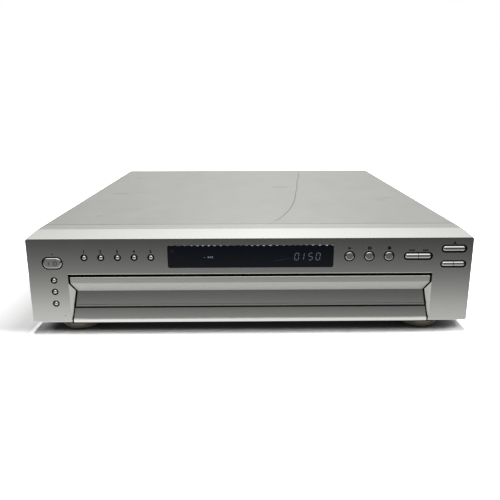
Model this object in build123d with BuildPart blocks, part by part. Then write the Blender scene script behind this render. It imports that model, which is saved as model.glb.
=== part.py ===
from build123d import *
import os
from math import asin, cos, degrees, pi, radians, sin, sqrt

# Five-disc player with a sliding carousel tray, in millimetres. X is to the right seen from the
# front, Y goes back, Z is up. The origin is on the table, under the middle of the whole machine.
# Heights are written above the cabinet's underside and depths behind its front face.

# Cabinet
CABINET_W = 430.0
CABINET_D = 402.0
FACE_H = 86.9
FOOT_H = 9.0
JACK_PROUD = 8.2
BUTTON_PROUD = 0.8
FIT = 0.3

# Front moulding and its sloping top ledge
PANEL_D = 40.6
PANEL_WALL = 2.5
LEDGE_D = 24.0
LEDGE_RISE = 2.3
LEDGE_BACK_RISE = 2.5
PANEL_CORNER_R = 3.0
PANEL_EDGE_R = 1.0
PANEL_FOOT_R = 2.0
LIP_L = 6.0
LIP_T = 1.6

# Mouth of the drawer, half widths and heights, and the slopes of the recess round it
MOUTH_TOP = 49.9
MOUTH_RIM_R = 1.5
MOUTH_INSET = 38.0
MITRE_TOP = 41.4
MITRE_LOW = 31.6
RECESS_D = 5.5
RECESS_INSET = 4.3
RECESS_FOOT_H = 4.1
RECESS_FOOT_D = 1.0
RIM_D = 12.0
RIM_T = 2.4
DOOR_GAP = 1.5
DOOR_TOP_GAP = 2.2
DOOR_EDGE_R = 0.6
DOOR_LEAN = 0.3
DOOR_RIDGE_R = 0.8
DOOR_LOW = 16.3
DOOR_LIP_H = 1.7
DOOR_LIP_PROUD = 0.5
DOOR_WALL = 2.2
FASCIA_TOP = 14.9
FASCIA_GAP = 0.8
FASCIA_WALL = 2.2
FASCIA_TUCK = 1.0

# Sheet metal
COVER_SHEET = 0.8
COVER_STEP = 1.0
COVER_RISE = 2.6
COVER_BEND_R = 2.0
COVER_LIFT = 0.8
SHEET = 1.0
PLATE_LIFT = 0.6
FLANGE_H = 22.0
REAR_FLANGE_H = 12.0
SIDE_SCREW_H = 15.0
HEM = 6.0
VENT_INSET = 18.0
VENT_PITCH = 16.0
VENT_L = 24.0
VENT_W = 5.0
VENT_COUNT = 6
REAR_VENT_X = -90.0
REAR_VENT_Z = 40.0
REAR_VENT_PITCH = 7.0
REAR_VENT_ROW = 22.0
REAR_VENT_COUNT = 16
REAR_VENT_L = 16.0
REAR_VENT_W = 2.6
REAR_SCREW_R = 1.5
SCREW_HEAD_R = 3.4
SCREW_HEAD_T = 0.9
SCREW_L = 5.0
FRONT_SCREW_D = 66.0
REAR_SCREW_INSET = 72.0

# Feet
FOOT_R = 20.0
FOOT_PAD_R = 18.2
FOOT_PAD_H = 2.2
FOOT_BOSS_R = 9.5
FOOT_GAP = 0.4
FOOT_INSET = 43.0
FRONT_FOOT_D = 21.0
REAR_FOOT_INSET = 32.0

# Window and display
WINDOW_INSET = 135.0
WINDOW_LOW = 56.9
WINDOW_TOP = 79.6
WINDOW_R = 2.0
WINDOW_SET_BACK = 0.3
WINDOW_LIP = 2.5
WINDOW_LIP_T = 1.0
TUBE_INSET = 10.0
TUBE_LOW = 60.0
TUBE_TOP = 77.0
TUBE_FRONT_D = 5.0

# Keys: cap size, width of the gap round the cap, travel, and how much of the cap its rounding takes
KEY_GAP = 0.85
KEY_TRAVEL = 0.8
KEY_OVERTRAVEL = 0.2
DOME_SHARE = 0.88
FLAT_SHARE = 0.25
KEY_FLANGE = 1.0
KEY_FLANGE_T = 0.8
STEM_R = 1.6
SWITCH_W = 6.0
SWITCH_BODY_H = 2.1
PLUNGER_R = 1.75
PLUNGER_H = 1.0
BOARD_T = 1.6
BOARD_D = 12.0
BOARD_LOW = 55.5
BOARD_TOP = 84.0
BOARD_EDGE_GAP = 3.0
SIDE_BOARD_LOW = 14.0
SIDE_BOARD_TOP = 50.0
SIDE_BOARD_W = 29.0
BOSS_R = 2.5
BOSS_BESIDE_WINDOW = 8.0

POWER_INSET = 24.2
POWER_Z = 62.3
POWER_W = 18.2
POWER_H = 10.7
LAMP_INSET = 24.9
LAMP_Z = 71.4
LAMP_R = 0.6
LAMP_BODY_R = 1.5
DISC_KEY_INSET = 55.0
DISC_KEY_PITCH = 16.0
DISC_KEY_Z = 67.6
DISC_KEY_R = 2.3
SIDE_KEY_INSET = 24.3
SIDE_KEY_Z = (44.7, 32.9, 20.6)
SIDE_KEY_R = 2.2
PLAY_INSET = 119.6
PLAY_PITCH = 19.05
PLAY_Z = 68.0
PLAY_R = 4.15
SKIP_INSET = 53.0
SKIP_Z = 67.8
SKIP_W = 26.2
SKIP_H = 5.8
OPEN_INSET = 18.55
OPEN_Z = 75.15
OPEN_W = 22.7
OPEN_H = 5.9
EXCHANGE_INSET = 18.4
EXCHANGE_Z = 59.65
EXCHANGE_W = 23.2
EXCHANGE_H = 5.3
SPLIT_GAP = 0.5
RECEIVER_INSET = 4.6
RECEIVER_Z = 73.8
RECEIVER_W = 6.0
RECEIVER_H = 7.0

# Loading deck, a moulded frame on the chassis plate
DECK_LIFT = 3.0
DECK_FLOOR_T = 2.0
DECK_FRONT_D = 20.0
SIDE_BAY_W = 42.5
REAR_BAY_D = 37.0
DECK_WALL_T = 2.5
DECK_WALL_TOP = 46.0
DECK_WALL_SPARE = 2.0
RUNNER_LOW = 14.7
RUNNER_T = 2.5
RUNNER_REACH = 5.5
KEEPER_T = 2.0
KEEPER_REACH = 4.5
PICKUP_WELL_GAP = 4.0
DECK_POST_R = 5.0
DECK_POST_IN = 14.0
DECK_POST_END = 20.0
DECK_POST_BEFORE_SPINDLE = 60.0
BOARD_POST_R = 3.5
BOARD_POST_IN = 24.0
BOARD_POST_BACK = 8.0
EAR_POST_R = 4.0
EAR_POST_IN = 8.0
AXLE_FOOT = 2.0
AXLE_TIP = 1.0
MOTOR_POST_R = 2.0
MOTOR_POST_X = 9.5
MOTOR_POST_D = 11.0
MOTOR_SHELF_D = 13.0

# Sliding tray
TRAY_FRONT_D = 13.0
TRAY_BACK_GAP = 0.5
TRAY_FLOOR_T = 2.5
TRAY_FLANGE_T = 3.0
TRAY_SIDE_GAP = 5.0
TRAY_WALL_T = 2.0
TRAY_FRONT_T = 2.5
TRAY_TOP = 45.6
TRAY_LOW_WALL_H = 30.0
TRAY_CORNER_T = 2.2
TRAY_CORNER_BACK = 33.5
TRAY_GAP_SIDE = 8.0
TRAY_GAP_FRONT = 54.2
PAD_R = 3.0
PAD_COUNT = 5

# Carousel
CAROUSEL_SIDE_GAP = 0.5
CAROUSEL_FRONT_GAP = 1.0
CAROUSEL_LOW = 35.0
CAROUSEL_TOP = 41.0
WELL_COUNT = 5
CAROUSEL_RIM = 0.7
WELL_R = 60.6
WELL_DEPTH = 3.0
SMALL_WELL_R = 40.5
SMALL_WELL_DEPTH = 1.2
SLOT_W = 46.0
SLOT_INWARD = 20.7
SKIRT_INSET = 4.0
SKIRT_T = 3.0
SKIRT_LOW = 31.0
SPINDLE_POST_R = 6.0
SPINDLE_POST_TOP = 40.0
HUB_R = 11.0
RING_CLEAR = 0.7
RING_MODULE = 2.0
RING_LOW = 22.0
RING_T = 4.0
RING_RIM_T = 6.0
RING_WALL_T = 3.0
CAP_R = 21.0
CAP_T = 2.0

# Drives, with the shares of the tooth pitch that a tooth fills at its root and at its tip
RUN = 0.2
TOOTH_ROOT = 0.58
TOOTH_TIP = 0.22
ADDENDUM = 0.9
DEDENDUM = 1.25
TABLE_TEETH = 10
TABLE_ANGLE = -45.0
TABLE_PULLEY_R = 11.0
PULLEY_T = 2.8
MOTOR_R = 12.0
MOTOR_PULLEY_R = 4.0
TABLE_MOTOR_INSET = 22.5
TABLE_MOTOR_H = 12.0
MOTOR_SHAFT_R = 1.0
AXLE_R = 2.0
BELT_T = 1.2
BELT_GAP = 0.25
DRIVE_TEETH = 20
DRIVE_MODULE = 1.5
RACK_REACH = 2.0
RACK_FRONT_D = 60.0
RACK_BACK_INSET = 55.0
DRIVE_D = 75.0
DRIVE_T = 2.4
REDUCER_TEETH = 40
REDUCER_MODULE = 1.0
REDUCER_LOW = 7.5
REDUCER_T = 3.0
LOADER_TEETH = 12
LOADER_ANGLE = 121.3
LOADER_PULLEY_R = 11.0
LOADER_MOTOR_D = 150.0
LOADER_MOTOR_H = 23.0
SHELF_T = 1.5
EAR_SIDE_GAP = 3.2
EAR_FRONT = 23.0
EAR_BACK = 16.0

# Pickup unit, hinged behind and lowered at rest. Its own sizes are given as it stands when raised,
# with depths behind the spindle.
LOWERED_DEG = 7.93
HINGE_BEHIND = 72.5
HINGE_ROOM = 7.3
HINGE_H = 14.0
HOLDER_HALF = 46.0
HOLDER_LOW = 22.0
HOLDER_TOP = 30.0
HOLDER_FRONT = 25.5
HOLDER_BACK = 68.5
HOLDER_WALL = 3.0
HOLDER_FLOOR_T = 3.0
SLED_GAP_HALF = 30.0
SLED_GAP_FROM = 12.5
SLED_GAP_TO = 64.5
SPINDLE_MOTOR_R = 11.0
SPINDLE_MOTOR_LOW = 15.0
SPINDLE_SLEEVE_R = 4.5
SPINDLE_SLEEVE_TOP = 29.0
TABLE_R = 15.0
TABLE_T = 3.0
TABLE_NECK_R = 6.0
CONE_R = 7.4
CONE_H = 2.5
ROD_X = 20.0
ROD_R = 1.5
ROD_H = 27.0
SLED_LOW = 24.0
SLED_TOP = 30.0
SLED_HALF = 27.0
SLED_L = 14.0
SLED_START = 22.0
SLED_TRAVEL = 35.0
TURRET_HALF = 10.0
TURRET_TOP = 39.0
LENS_R = 3.0
SLED_RACK_X = 28.8
SLED_RACK_LOW = 26.0
SLED_RACK_T = 3.0
SLED_TEETH = 12
SLED_MODULE = 1.0
SLED_GEAR_AT = 26.0
SLED_MOTOR_R = 6.5
HINGE_PIN_R = 2.0
HINGE_PIN_L = 8.0
HINGE_EAR_T = 4.0
HINGE_ARM_FRONT = 9.0
HINGE_ARM_BACK = 4.0
LIFT_PIN_R = 1.8
LIFT_PIN_H = 24.0
LIFT_SLIDE_FRONT = 31.1
LIFT_SLIDE_T = 2.0
LIFT_TRAVEL = 28.0
LIFT_SLOT_W = 5.0
LIFT_SLIDE_TOP = 28.0
LIFT_MARGIN = 6.0

# Chuck above the disc
BRIDGE_T = 2.0
BRIDGE_FRONT = 19.0
BRIDGE_BACK = 19.0
BRIDGE_EDGE_H = 3.0
CHUCK_R = 16.0
CHUCK_LOW = 43.9
CHUCK_T = 1.7
CHUCK_NECK_R = 11.0
CHUCK_TOP_T = 1.5

# Rear and electronics
MAIN_BOARD_LOW = 56.0
MAIN_BOARD_INSET = 41.0
MAIN_BOARD_BEHIND = 26.8
JACK_R = 4.15
JACK_BORE_R = 1.6
JACK_BODY_W = 12.0
JACK_BODY_D = 10.0
JACK_BODY_H = 12.8
JACK_ROW = 13.2
JACK_PITCH = 15.0
JACK_COLUMNS = 6
JACK_X = 40.0
ROUND_SOCKET_X = 96.0
ROUND_SOCKET_R = 4.9
ROUND_SOCKET_BORE_R = 3.6
LIGHT_SOCKET_X = 116.0
LIGHT_SOCKET_W = 9.7
LIGHT_SOCKET_BORE_W = 6.6
SOCKET_PROUD = 1.6
SOCKET_DEPTH = 6.0
INLET_INSET = 22.2
INLET_Z = 32.0
INLET_W = 20.0
INLET_H = 13.0
INLET_FLANGE = 2.5
INLET_FLANGE_T = 1.5
INLET_DEPTH = 16.0
INLET_SOCKET_W = 15.6
INLET_SOCKET_H = 9.0
INLET_SOCKET_DEPTH = 11.0
INLET_PIN_R = 1.2
INLET_PIN_X = 4.3
CHIPS = ((-110, 28, 28), (-60, 38, 20), (20, 33, 24), (90, 28, 14))
CHIP_T = 2.5
POWER_BOARD_LIFT = 8.0
POWER_BOARD_W = 30.0
CORE_W = 24.0
CORE_L = 26.0
CORE_H = 22.0
CORE_AT = 0.635
WINDING_PROUD = 6.0
CAPACITORS = ((0.12, 5, 16), (0.36, 6.5, 22), (0.455, 6.5, 22), (0.82, 9, 30))
SINK_AT = 0.2
SINK_W = 24.0
SINK_H = 26.0
FIN_T = 1.6
FIN_L = 10.0
POWER_BOARD_FRONT_GAP = 16.0
POWER_BOARD_SIDE_GAP = 3.2
POWER_BOARD_REAR_GAP = 24.2

# Places worked out from the sizes above
FACE_Y = BUTTON_PROUD - (BUTTON_PROUD + CABINET_D + JACK_PROUD) / 2
BASE_Z = FOOT_H
PLATE_TOP = PLATE_LIFT + SHEET
LEDGE_H = FACE_H + LEDGE_RISE
LEDGE_BACK_H = FACE_H + LEDGE_BACK_RISE
COVER_H = FACE_H + COVER_RISE
MOUTH_HALF = CABINET_W / 2 - MOUTH_INSET
WINDOW_HALF = CABINET_W / 2 - WINDOW_INSET
FOOT_X = CABINET_W / 2 - FOOT_INSET
SIDE_SCREW_D = (FRONT_SCREW_D, CABINET_D - REAR_SCREW_INSET)
DECK_WALL_IN = CABINET_W / 2 - SIDE_BAY_W
RUNNER_IN = DECK_WALL_IN - RUNNER_REACH
KEEPER_IN = DECK_WALL_IN - KEEPER_REACH
TRAY_WALL_OUT = DECK_WALL_IN - TRAY_SIDE_GAP
PANEL_IN = CABINET_W / 2 - PANEL_WALL
CHASSIS_HALF = PANEL_IN - FIT
HEM_D = CABINET_D - COVER_SHEET
REAR_PANEL_D = HEM_D - SHEET
DECK_TOP = DECK_LIFT + DECK_FLOOR_T
TRAY_LOW = RUNNER_LOW + RUNNER_T + FIT
TRAY_FLOOR_TOP = TRAY_LOW + TRAY_FLOOR_T
KEEPER_LOW = TRAY_LOW + TRAY_FLANGE_T + FIT
TRAY_HALF = DECK_WALL_IN - FIT
# The carousel is the largest that both the width and the depth leave room for
wide_r = TRAY_WALL_OUT - TRAY_WALL_T - CAROUSEL_SIDE_GAP
deep_r = (CABINET_D - REAR_BAY_D - HINGE_ROOM - HINGE_BEHIND + WELL_R + CAROUSEL_RIM
          - TRAY_FRONT_D - TRAY_FRONT_T - CAROUSEL_FRONT_GAP) / 2
CAROUSEL_R = min(wide_r, deep_r)
CAROUSEL_D = TRAY_FRONT_D + TRAY_FRONT_T + CAROUSEL_FRONT_GAP + CAROUSEL_R
WELL_PITCH_R = CAROUSEL_R - CAROUSEL_RIM - WELL_R
SPINDLE_D = CAROUSEL_D + WELL_PITCH_R
HINGE_D = SPINDLE_D + HINGE_BEHIND
DECK_BACK_D = HINGE_D + HINGE_ROOM
TRAY_BACK_D = CAROUSEL_D + CAROUSEL_R + TRAY_BACK_GAP
DECK_WALL_BACK_D = TRAY_BACK_D + DECK_WALL_SPARE
TRAY_CORNER_BACK_D = CAROUSEL_D - TRAY_CORNER_BACK
TRAY_GAP_HALF = HOLDER_HALF + TRAY_GAP_SIDE
TRAY_GAP_FRONT_D = SPINDLE_D - TRAY_GAP_FRONT
PICKUP_WELL_HALF = HOLDER_HALF + PICKUP_WELL_GAP
SKIRT_R = CAROUSEL_R - SKIRT_INSET
SLOT_FROM_R = WELL_PITCH_R - SLOT_INWARD
RING_TEETH = int(2 * ((WELL_PITCH_R - LIFT_SLIDE_FRONT - RING_CLEAR) / RING_MODULE - ADDENDUM))
RING_IN_R = RING_TEETH * RING_MODULE / 2 - RING_RIM_T
RACK_X = TRAY_WALL_OUT + RACK_REACH
RACK_BACK_D = TRAY_BACK_D - RACK_BACK_INSET
TABLE_MOTOR_X = TRAY_WALL_OUT - TRAY_WALL_T - TABLE_MOTOR_INSET
TABLE_MOTOR_D = TRAY_FRONT_D + TRAY_FRONT_T + TABLE_MOTOR_INSET
EAR_OUT = CHASSIS_HALF - EAR_SIDE_GAP
EAR_FRONT_D = DRIVE_D - EAR_FRONT
EAR_BACK_D = LOADER_MOTOR_D + EAR_BACK
MAIN_BOARD_HALF = CABINET_W / 2 - MAIN_BOARD_INSET
MAIN_BOARD_FRONT_D = SPINDLE_D + MAIN_BOARD_BEHIND
RECESS_SLOPE = (RECESS_D - RECESS_FOOT_D) / (MITRE_LOW - RECESS_FOOT_H)
COVER_W = CABINET_W - 2 * COVER_STEP
COVER_IN = COVER_W / 2 - COVER_SHEET
REAR_FOOT_D = CABINET_D - REAR_FOOT_INSET
POWER_X = POWER_INSET - CABINET_W / 2
LAMP_X = LAMP_INSET - CABINET_W / 2
DISC_KEY_X = DISC_KEY_INSET - CABINET_W / 2
SIDE_KEY_X = SIDE_KEY_INSET - CABINET_W / 2
PLAY_X = CABINET_W / 2 - PLAY_INSET
SKIP_X = CABINET_W / 2 - SKIP_INSET
OPEN_X = CABINET_W / 2 - OPEN_INSET
EXCHANGE_X = CABINET_W / 2 - EXCHANGE_INSET
RECEIVER_X = RECEIVER_INSET - WINDOW_HALF
TUBE_HALF = WINDOW_HALF - TUBE_INSET
INLET_X = INLET_INSET - CHASSIS_HALF
POWER_BOARD_OUT = CHASSIS_HALF - POWER_BOARD_SIDE_GAP
POWER_BOARD_IN = POWER_BOARD_OUT - POWER_BOARD_W
POWER_BOARD_BACK_D = REAR_PANEL_D - POWER_BOARD_REAR_GAP
POWER_BOARD_FRONT_D = EAR_BACK_D + POWER_BOARD_FRONT_GAP
POWER_BOARD_L = POWER_BOARD_BACK_D - POWER_BOARD_FRONT_D
STEM_END_D = BOARD_D - SWITCH_BODY_H - PLUNGER_H - KEY_TRAVEL - KEY_OVERTRAVEL

os.makedirs("parts", exist_ok=True)


def level(height):
    """Level plane at a height, drawn with x and the depth behind the face."""
    return Plane(origin=(0, FACE_Y, BASE_Z + height), x_dir=(1, 0, 0), z_dir=(0, 0, 1))


def front(depth):
    """Upright plane facing the front, drawn with x and height."""
    return Plane(origin=(0, FACE_Y + depth, BASE_Z), x_dir=(1, 0, 0), z_dir=(0, -1, 0))


def side(x):
    """Upright plane facing right, drawn with depth and height."""
    return Plane(origin=(x, FACE_Y, BASE_Z), x_dir=(0, 1, 0), z_dir=(1, 0, 0))


def lowered(height):
    """Level plane of the pickup unit, turned down about its hinge, drawn with x and depth."""
    turn = radians(LOWERED_DEG)
    back = -HINGE_BEHIND * cos(turn) - (height - HINGE_H) * sin(turn)
    rise = -HINGE_BEHIND * sin(turn) + (height - HINGE_H) * cos(turn)
    origin = (0, FACE_Y + HINGE_D + back, BASE_Z + HINGE_H + rise)
    return Plane(origin=origin, x_dir=(1, 0, 0), z_dir=(0, -sin(turn), cos(turn)))


def lowered_front(depth):
    """Upright plane across the pickup unit, drawn with x and raised height."""
    turn = radians(LOWERED_DEG)
    corner = lowered(0).origin + Vector(0, cos(turn), sin(turn)) * depth
    return Plane(origin=corner, x_dir=(1, 0, 0), z_dir=(0, -cos(turn), -sin(turn)))


def block(x, y, z, mode=Mode.ADD, plane=level):
    """Block between two widths, two depths and two heights."""
    with BuildSketch(plane(z[0])) as outline:
        with Locations(((x[0] + x[1]) / 2, (y[0] + y[1]) / 2)):
            Rectangle(x[1] - x[0], y[1] - y[0])
    extrude(outline.sketch, amount=z[1] - z[0], mode=mode)


def post(centre, radius, z, mode=Mode.ADD, plane=level):
    """Round post or hole between two heights."""
    with BuildSketch(plane(z[0])) as outline:
        with Locations(centre):
            Circle(radius)
    extrude(outline.sketch, amount=z[1] - z[0], mode=mode)


def barrel(centre, radius, depths, mode=Mode.ADD, plane=front):
    """Round bar or hole that runs from front to back; its centre is x and height."""
    with BuildSketch(plane(depths[0])) as outline:
        with Locations(centre):
            Circle(radius)
    extrude(outline.sketch, amount=depths[0] - depths[1], mode=mode)


def slice_of(points, plane, amount, mode=Mode.ADD):
    """Solid of one straight-sided outline."""
    with BuildSketch(plane) as outline:
        with BuildLine():
            Polyline(*points, close=True)
        make_face()
    extrude(outline.sketch, amount=amount, mode=mode)


def gear_teeth(centre, teeth, module, z, towards=0.0, plane=level):
    """Toothed disc with straight-flanked teeth, one of which points towards an angle."""
    root = module * (teeth / 2 - DEDENDUM)
    tip = module * (teeth / 2 + ADDENDUM)
    pitch = 2 * pi / teeth
    points = []
    for tooth in range(teeth):
        middle = radians(towards) + tooth * pitch
        for radius, share in ((root, -TOOTH_ROOT), (tip, -TOOTH_TIP), (tip, TOOTH_TIP), (root, TOOTH_ROOT)):
            angle = middle + share * pitch / 2
            points.append((centre[0] + radius * cos(angle), centre[1] + radius * sin(angle)))
    slice_of(points, plane(z[0]), z[1] - z[0])


def rack_teeth(line_x, outward, gap_at, ends, module, z, depth_in, plane=level):
    """Straight rack along the depth; its teeth point outward and leave a gap at one depth."""
    pitch = pi * module
    first = int((ends[0] - gap_at) / pitch) - 1
    points = [(line_x - outward * depth_in, ends[0])]
    root_x = line_x - outward * module * DEDENDUM
    tip_x = line_x + outward * module * ADDENDUM
    points.append((root_x, ends[0]))
    count = int((ends[1] - ends[0]) / pitch) + 3
    for tooth in range(first, first + count):
        middle = gap_at + (tooth + 0.5) * pitch
        if middle - pitch / 2 < ends[0] or middle + pitch / 2 > ends[1]:
            continue
        for x, share in ((root_x, -TOOTH_ROOT), (tip_x, -TOOTH_TIP), (tip_x, TOOTH_TIP), (root_x, TOOTH_ROOT)):
            points.append((x, middle + share * pitch / 2))
    points.append((root_x, ends[1]))
    points.append((line_x - outward * depth_in, ends[1]))
    slice_of(points, plane(z[0]), z[1] - z[0])


def belt_round(start, start_r, end, end_r, z):
    """Rubber belt round two pulleys, standing a little off both."""
    for grow, mode in ((BELT_GAP + BELT_T, Mode.ADD), (BELT_GAP, Mode.SUBTRACT)):
        with BuildSketch(level(z[0])) as loop:
            with Locations(start):
                Circle(start_r + grow)
            with Locations(end):
                Circle(end_r + grow)
            make_hull()
        extrude(loop.sketch, amount=z[1] - z[0], mode=mode)


def mouth_outline(inset, low, high):
    """Front view of the drawer's mouth, made smaller by a gap, between two heights."""
    def half_at(height):
        if height >= MITRE_TOP:
            return MOUTH_HALF
        if height >= MITRE_LOW:
            return MOUTH_HALF - RECESS_INSET * (MITRE_TOP - height) / (MITRE_TOP - MITRE_LOW)
        depth = RECESS_D - RECESS_SLOPE * (MITRE_LOW - height)
        return MOUTH_HALF - RECESS_INSET * depth / RECESS_D
    heights = [high] + [h for h in (MITRE_TOP, MITRE_LOW) if low < h < high] + [low]
    right = [(half_at(height) - inset, height) for height in heights]
    return right + [(-x, height) for x, height in reversed(right)]


# Front panel: a deep moulding, closed in front and above, with the drawer's mitred recess
with BuildPart() as front_panel:
    with BuildSketch(side(-CABINET_W / 2)):
        with BuildLine():
            Polyline((0, 0), (0, FACE_H), (LEDGE_D, LEDGE_H), (PANEL_D, LEDGE_BACK_H), (PANEL_D, 0),
                     close=True)
        make_face()
    extrude(amount=CABINET_W)
    end_edges = front_panel.edges().filter_by(lambda e: abs(e.center().X) > CABINET_W / 2 - FIT)
    fillet(end_edges.filter_by(lambda e: e.center().Z > BASE_Z + FACE_H), radius=PANEL_CORNER_R)
    face_edges = front_panel.faces().sort_by(Axis.Y)[0].edges()
    fillet(face_edges.filter_by(lambda e: e.center().Z > BASE_Z + FIT), radius=PANEL_EDGE_R)
    back_face = front_panel.faces().sort_by(Axis.Y)[-1]
    bottom_face = front_panel.faces().sort_by(Axis.Z)[0]
    offset(amount=-PANEL_WALL, openings=[back_face, bottom_face])
    foot_edges = front_panel.edges().filter_by(Axis.Y).filter_by(
        lambda e: abs(e.center().X) > CABINET_W / 2 - FIT)
    fillet(foot_edges.group_by(Axis.Z)[0], radius=PANEL_FOOT_R)
    lip_out = COVER_IN - FIT
    lip_top = COVER_H - COVER_SHEET - FIT
    lip_half = lip_out - COVER_BEND_R
    block((-lip_half, lip_half), (PANEL_D - LIP_L, PANEL_D + LIP_L), (lip_top - LIP_T, lip_top))
    for x in (-1, 1):
        sides = sorted((x * lip_out, x * (lip_out - LIP_T)))
        block(sides, (PANEL_D - LIP_L, PANEL_D + LIP_L), (PLATE_TOP + FIT, lip_top - COVER_BEND_R))
    rim_half = MOUTH_HALF + RIM_T
    block((-rim_half, rim_half), (PANEL_WALL / 2, RIM_D), (0, MOUTH_TOP + RIM_T))
    slice_of(mouth_outline(0, -FIT, MOUTH_TOP), front(-FIT), -RIM_D - 2 * FIT, Mode.SUBTRACT)
    with BuildSketch(side(-MOUTH_HALF)) as mouth_rim:
        with Locations(((MOUTH_RIM_R - FIT) / 2, MOUTH_TOP + (MOUTH_RIM_R - FIT) / 2)):
            Rectangle(MOUTH_RIM_R + FIT, MOUTH_RIM_R + FIT)
        with Locations((MOUTH_RIM_R, MOUTH_TOP + MOUTH_RIM_R)):
            Circle(MOUTH_RIM_R, mode=Mode.SUBTRACT)
    extrude(mouth_rim.sketch, amount=2 * MOUTH_HALF, mode=Mode.SUBTRACT)
    for x in (-1, 1):
        inner_x = x * (MOUTH_HALF - RECESS_INSET)
        cheek = [(x * MOUTH_HALF, 0), (inner_x, 0), (inner_x, RECESS_D)]
        slice_of(cheek, level(0), MITRE_TOP, Mode.SUBTRACT)
    with BuildSketch(front(-FIT)) as window_hole:
        with Locations((0, (WINDOW_LOW + WINDOW_TOP) / 2)):
            RectangleRounded(2 * WINDOW_HALF, WINDOW_TOP - WINDOW_LOW, WINDOW_R)
    extrude(window_hole.sketch, amount=-PANEL_WALL - 2 * FIT, mode=Mode.SUBTRACT)
    barrel((LAMP_X, LAMP_Z), LAMP_R + RUN, (-FIT, PANEL_WALL + FIT), Mode.SUBTRACT)
    disc_keys = [(DISC_KEY_X + i * DISC_KEY_PITCH, DISC_KEY_Z, DISC_KEY_R) for i in range(WELL_COUNT)]
    side_keys = [(SIDE_KEY_X, z, SIDE_KEY_R) for z in SIDE_KEY_Z]
    play_keys = [(PLAY_X + i * PLAY_PITCH, PLAY_Z, PLAY_R) for i in range(3)]
    for x, z, radius in disc_keys + side_keys + play_keys:
        barrel((x, z), radius + KEY_GAP, (-FIT, PANEL_WALL + FIT), Mode.SUBTRACT)
    long_keys = [(POWER_X, POWER_Z, POWER_W, POWER_H), (SKIP_X, SKIP_Z, SKIP_W, SKIP_H),
                 (OPEN_X, OPEN_Z, OPEN_W, OPEN_H), (EXCHANGE_X, EXCHANGE_Z, EXCHANGE_W, EXCHANGE_H)]
    for x, z, width, height in long_keys:
        with BuildSketch(front(-FIT)) as key_hole:
            with Locations((x, z)):
                SlotOverall(width + 2 * KEY_GAP, height + 2 * KEY_GAP)
        extrude(key_hole.sketch, amount=-PANEL_WALL - 2 * FIT, mode=Mode.SUBTRACT)
    board_edge = PANEL_IN - BOARD_EDGE_GAP
    bosses = [(-board_edge + BOSS_R, SKIP_Z), (board_edge - BOSS_R, SKIP_Z),
              (-WINDOW_HALF - BOSS_BESIDE_WINDOW, BOARD_LOW + BOSS_R),
              (WINDOW_HALF + BOSS_BESIDE_WINDOW, BOARD_LOW + BOSS_R)]
    side_bosses = [(-board_edge + BOSS_R + 1, z) for z in ((SIDE_KEY_Z[0] + SIDE_KEY_Z[1]) / 2,
                                                           (SIDE_KEY_Z[1] + SIDE_KEY_Z[2]) / 2)]
    for centre in bosses + side_bosses:
        barrel(centre, BOSS_R, (PANEL_WALL / 2, BOARD_D))
front_panel.part.label = "front_panel"
export_step(front_panel.part, "parts/front_panel.step")

# Lower fascia, the fixed strip under the drawer's door
with BuildPart() as lower_fascia:
    def floor_depth(height):
        return RECESS_FOOT_D + RECESS_SLOPE * (height - RECESS_FOOT_H)

    skin = [(floor_depth(FASCIA_TOP), FASCIA_TOP), (RECESS_FOOT_D, RECESS_FOOT_H), (0, RECESS_FOOT_H - 0.6),
            (FASCIA_TUCK, 0), (FASCIA_TUCK + FASCIA_WALL, 0), (RECESS_FOOT_D + FASCIA_WALL, RECESS_FOOT_H),
            (floor_depth(FASCIA_TOP) + FASCIA_WALL, FASCIA_TOP - FASCIA_WALL),
            (TRAY_FRONT_D, FASCIA_TOP - FASCIA_WALL), (TRAY_FRONT_D, FASCIA_TOP)]
    slice_of(skin, side(-MOUTH_HALF), 2 * MOUTH_HALF)
    slice_of(mouth_outline(FASCIA_GAP, 0, FASCIA_TOP), front(0), -TRAY_FRONT_D, Mode.INTERSECT)
lower_fascia.part.label = "lower_fascia"
export_step(lower_fascia.part, "parts/lower_fascia.step")

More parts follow.
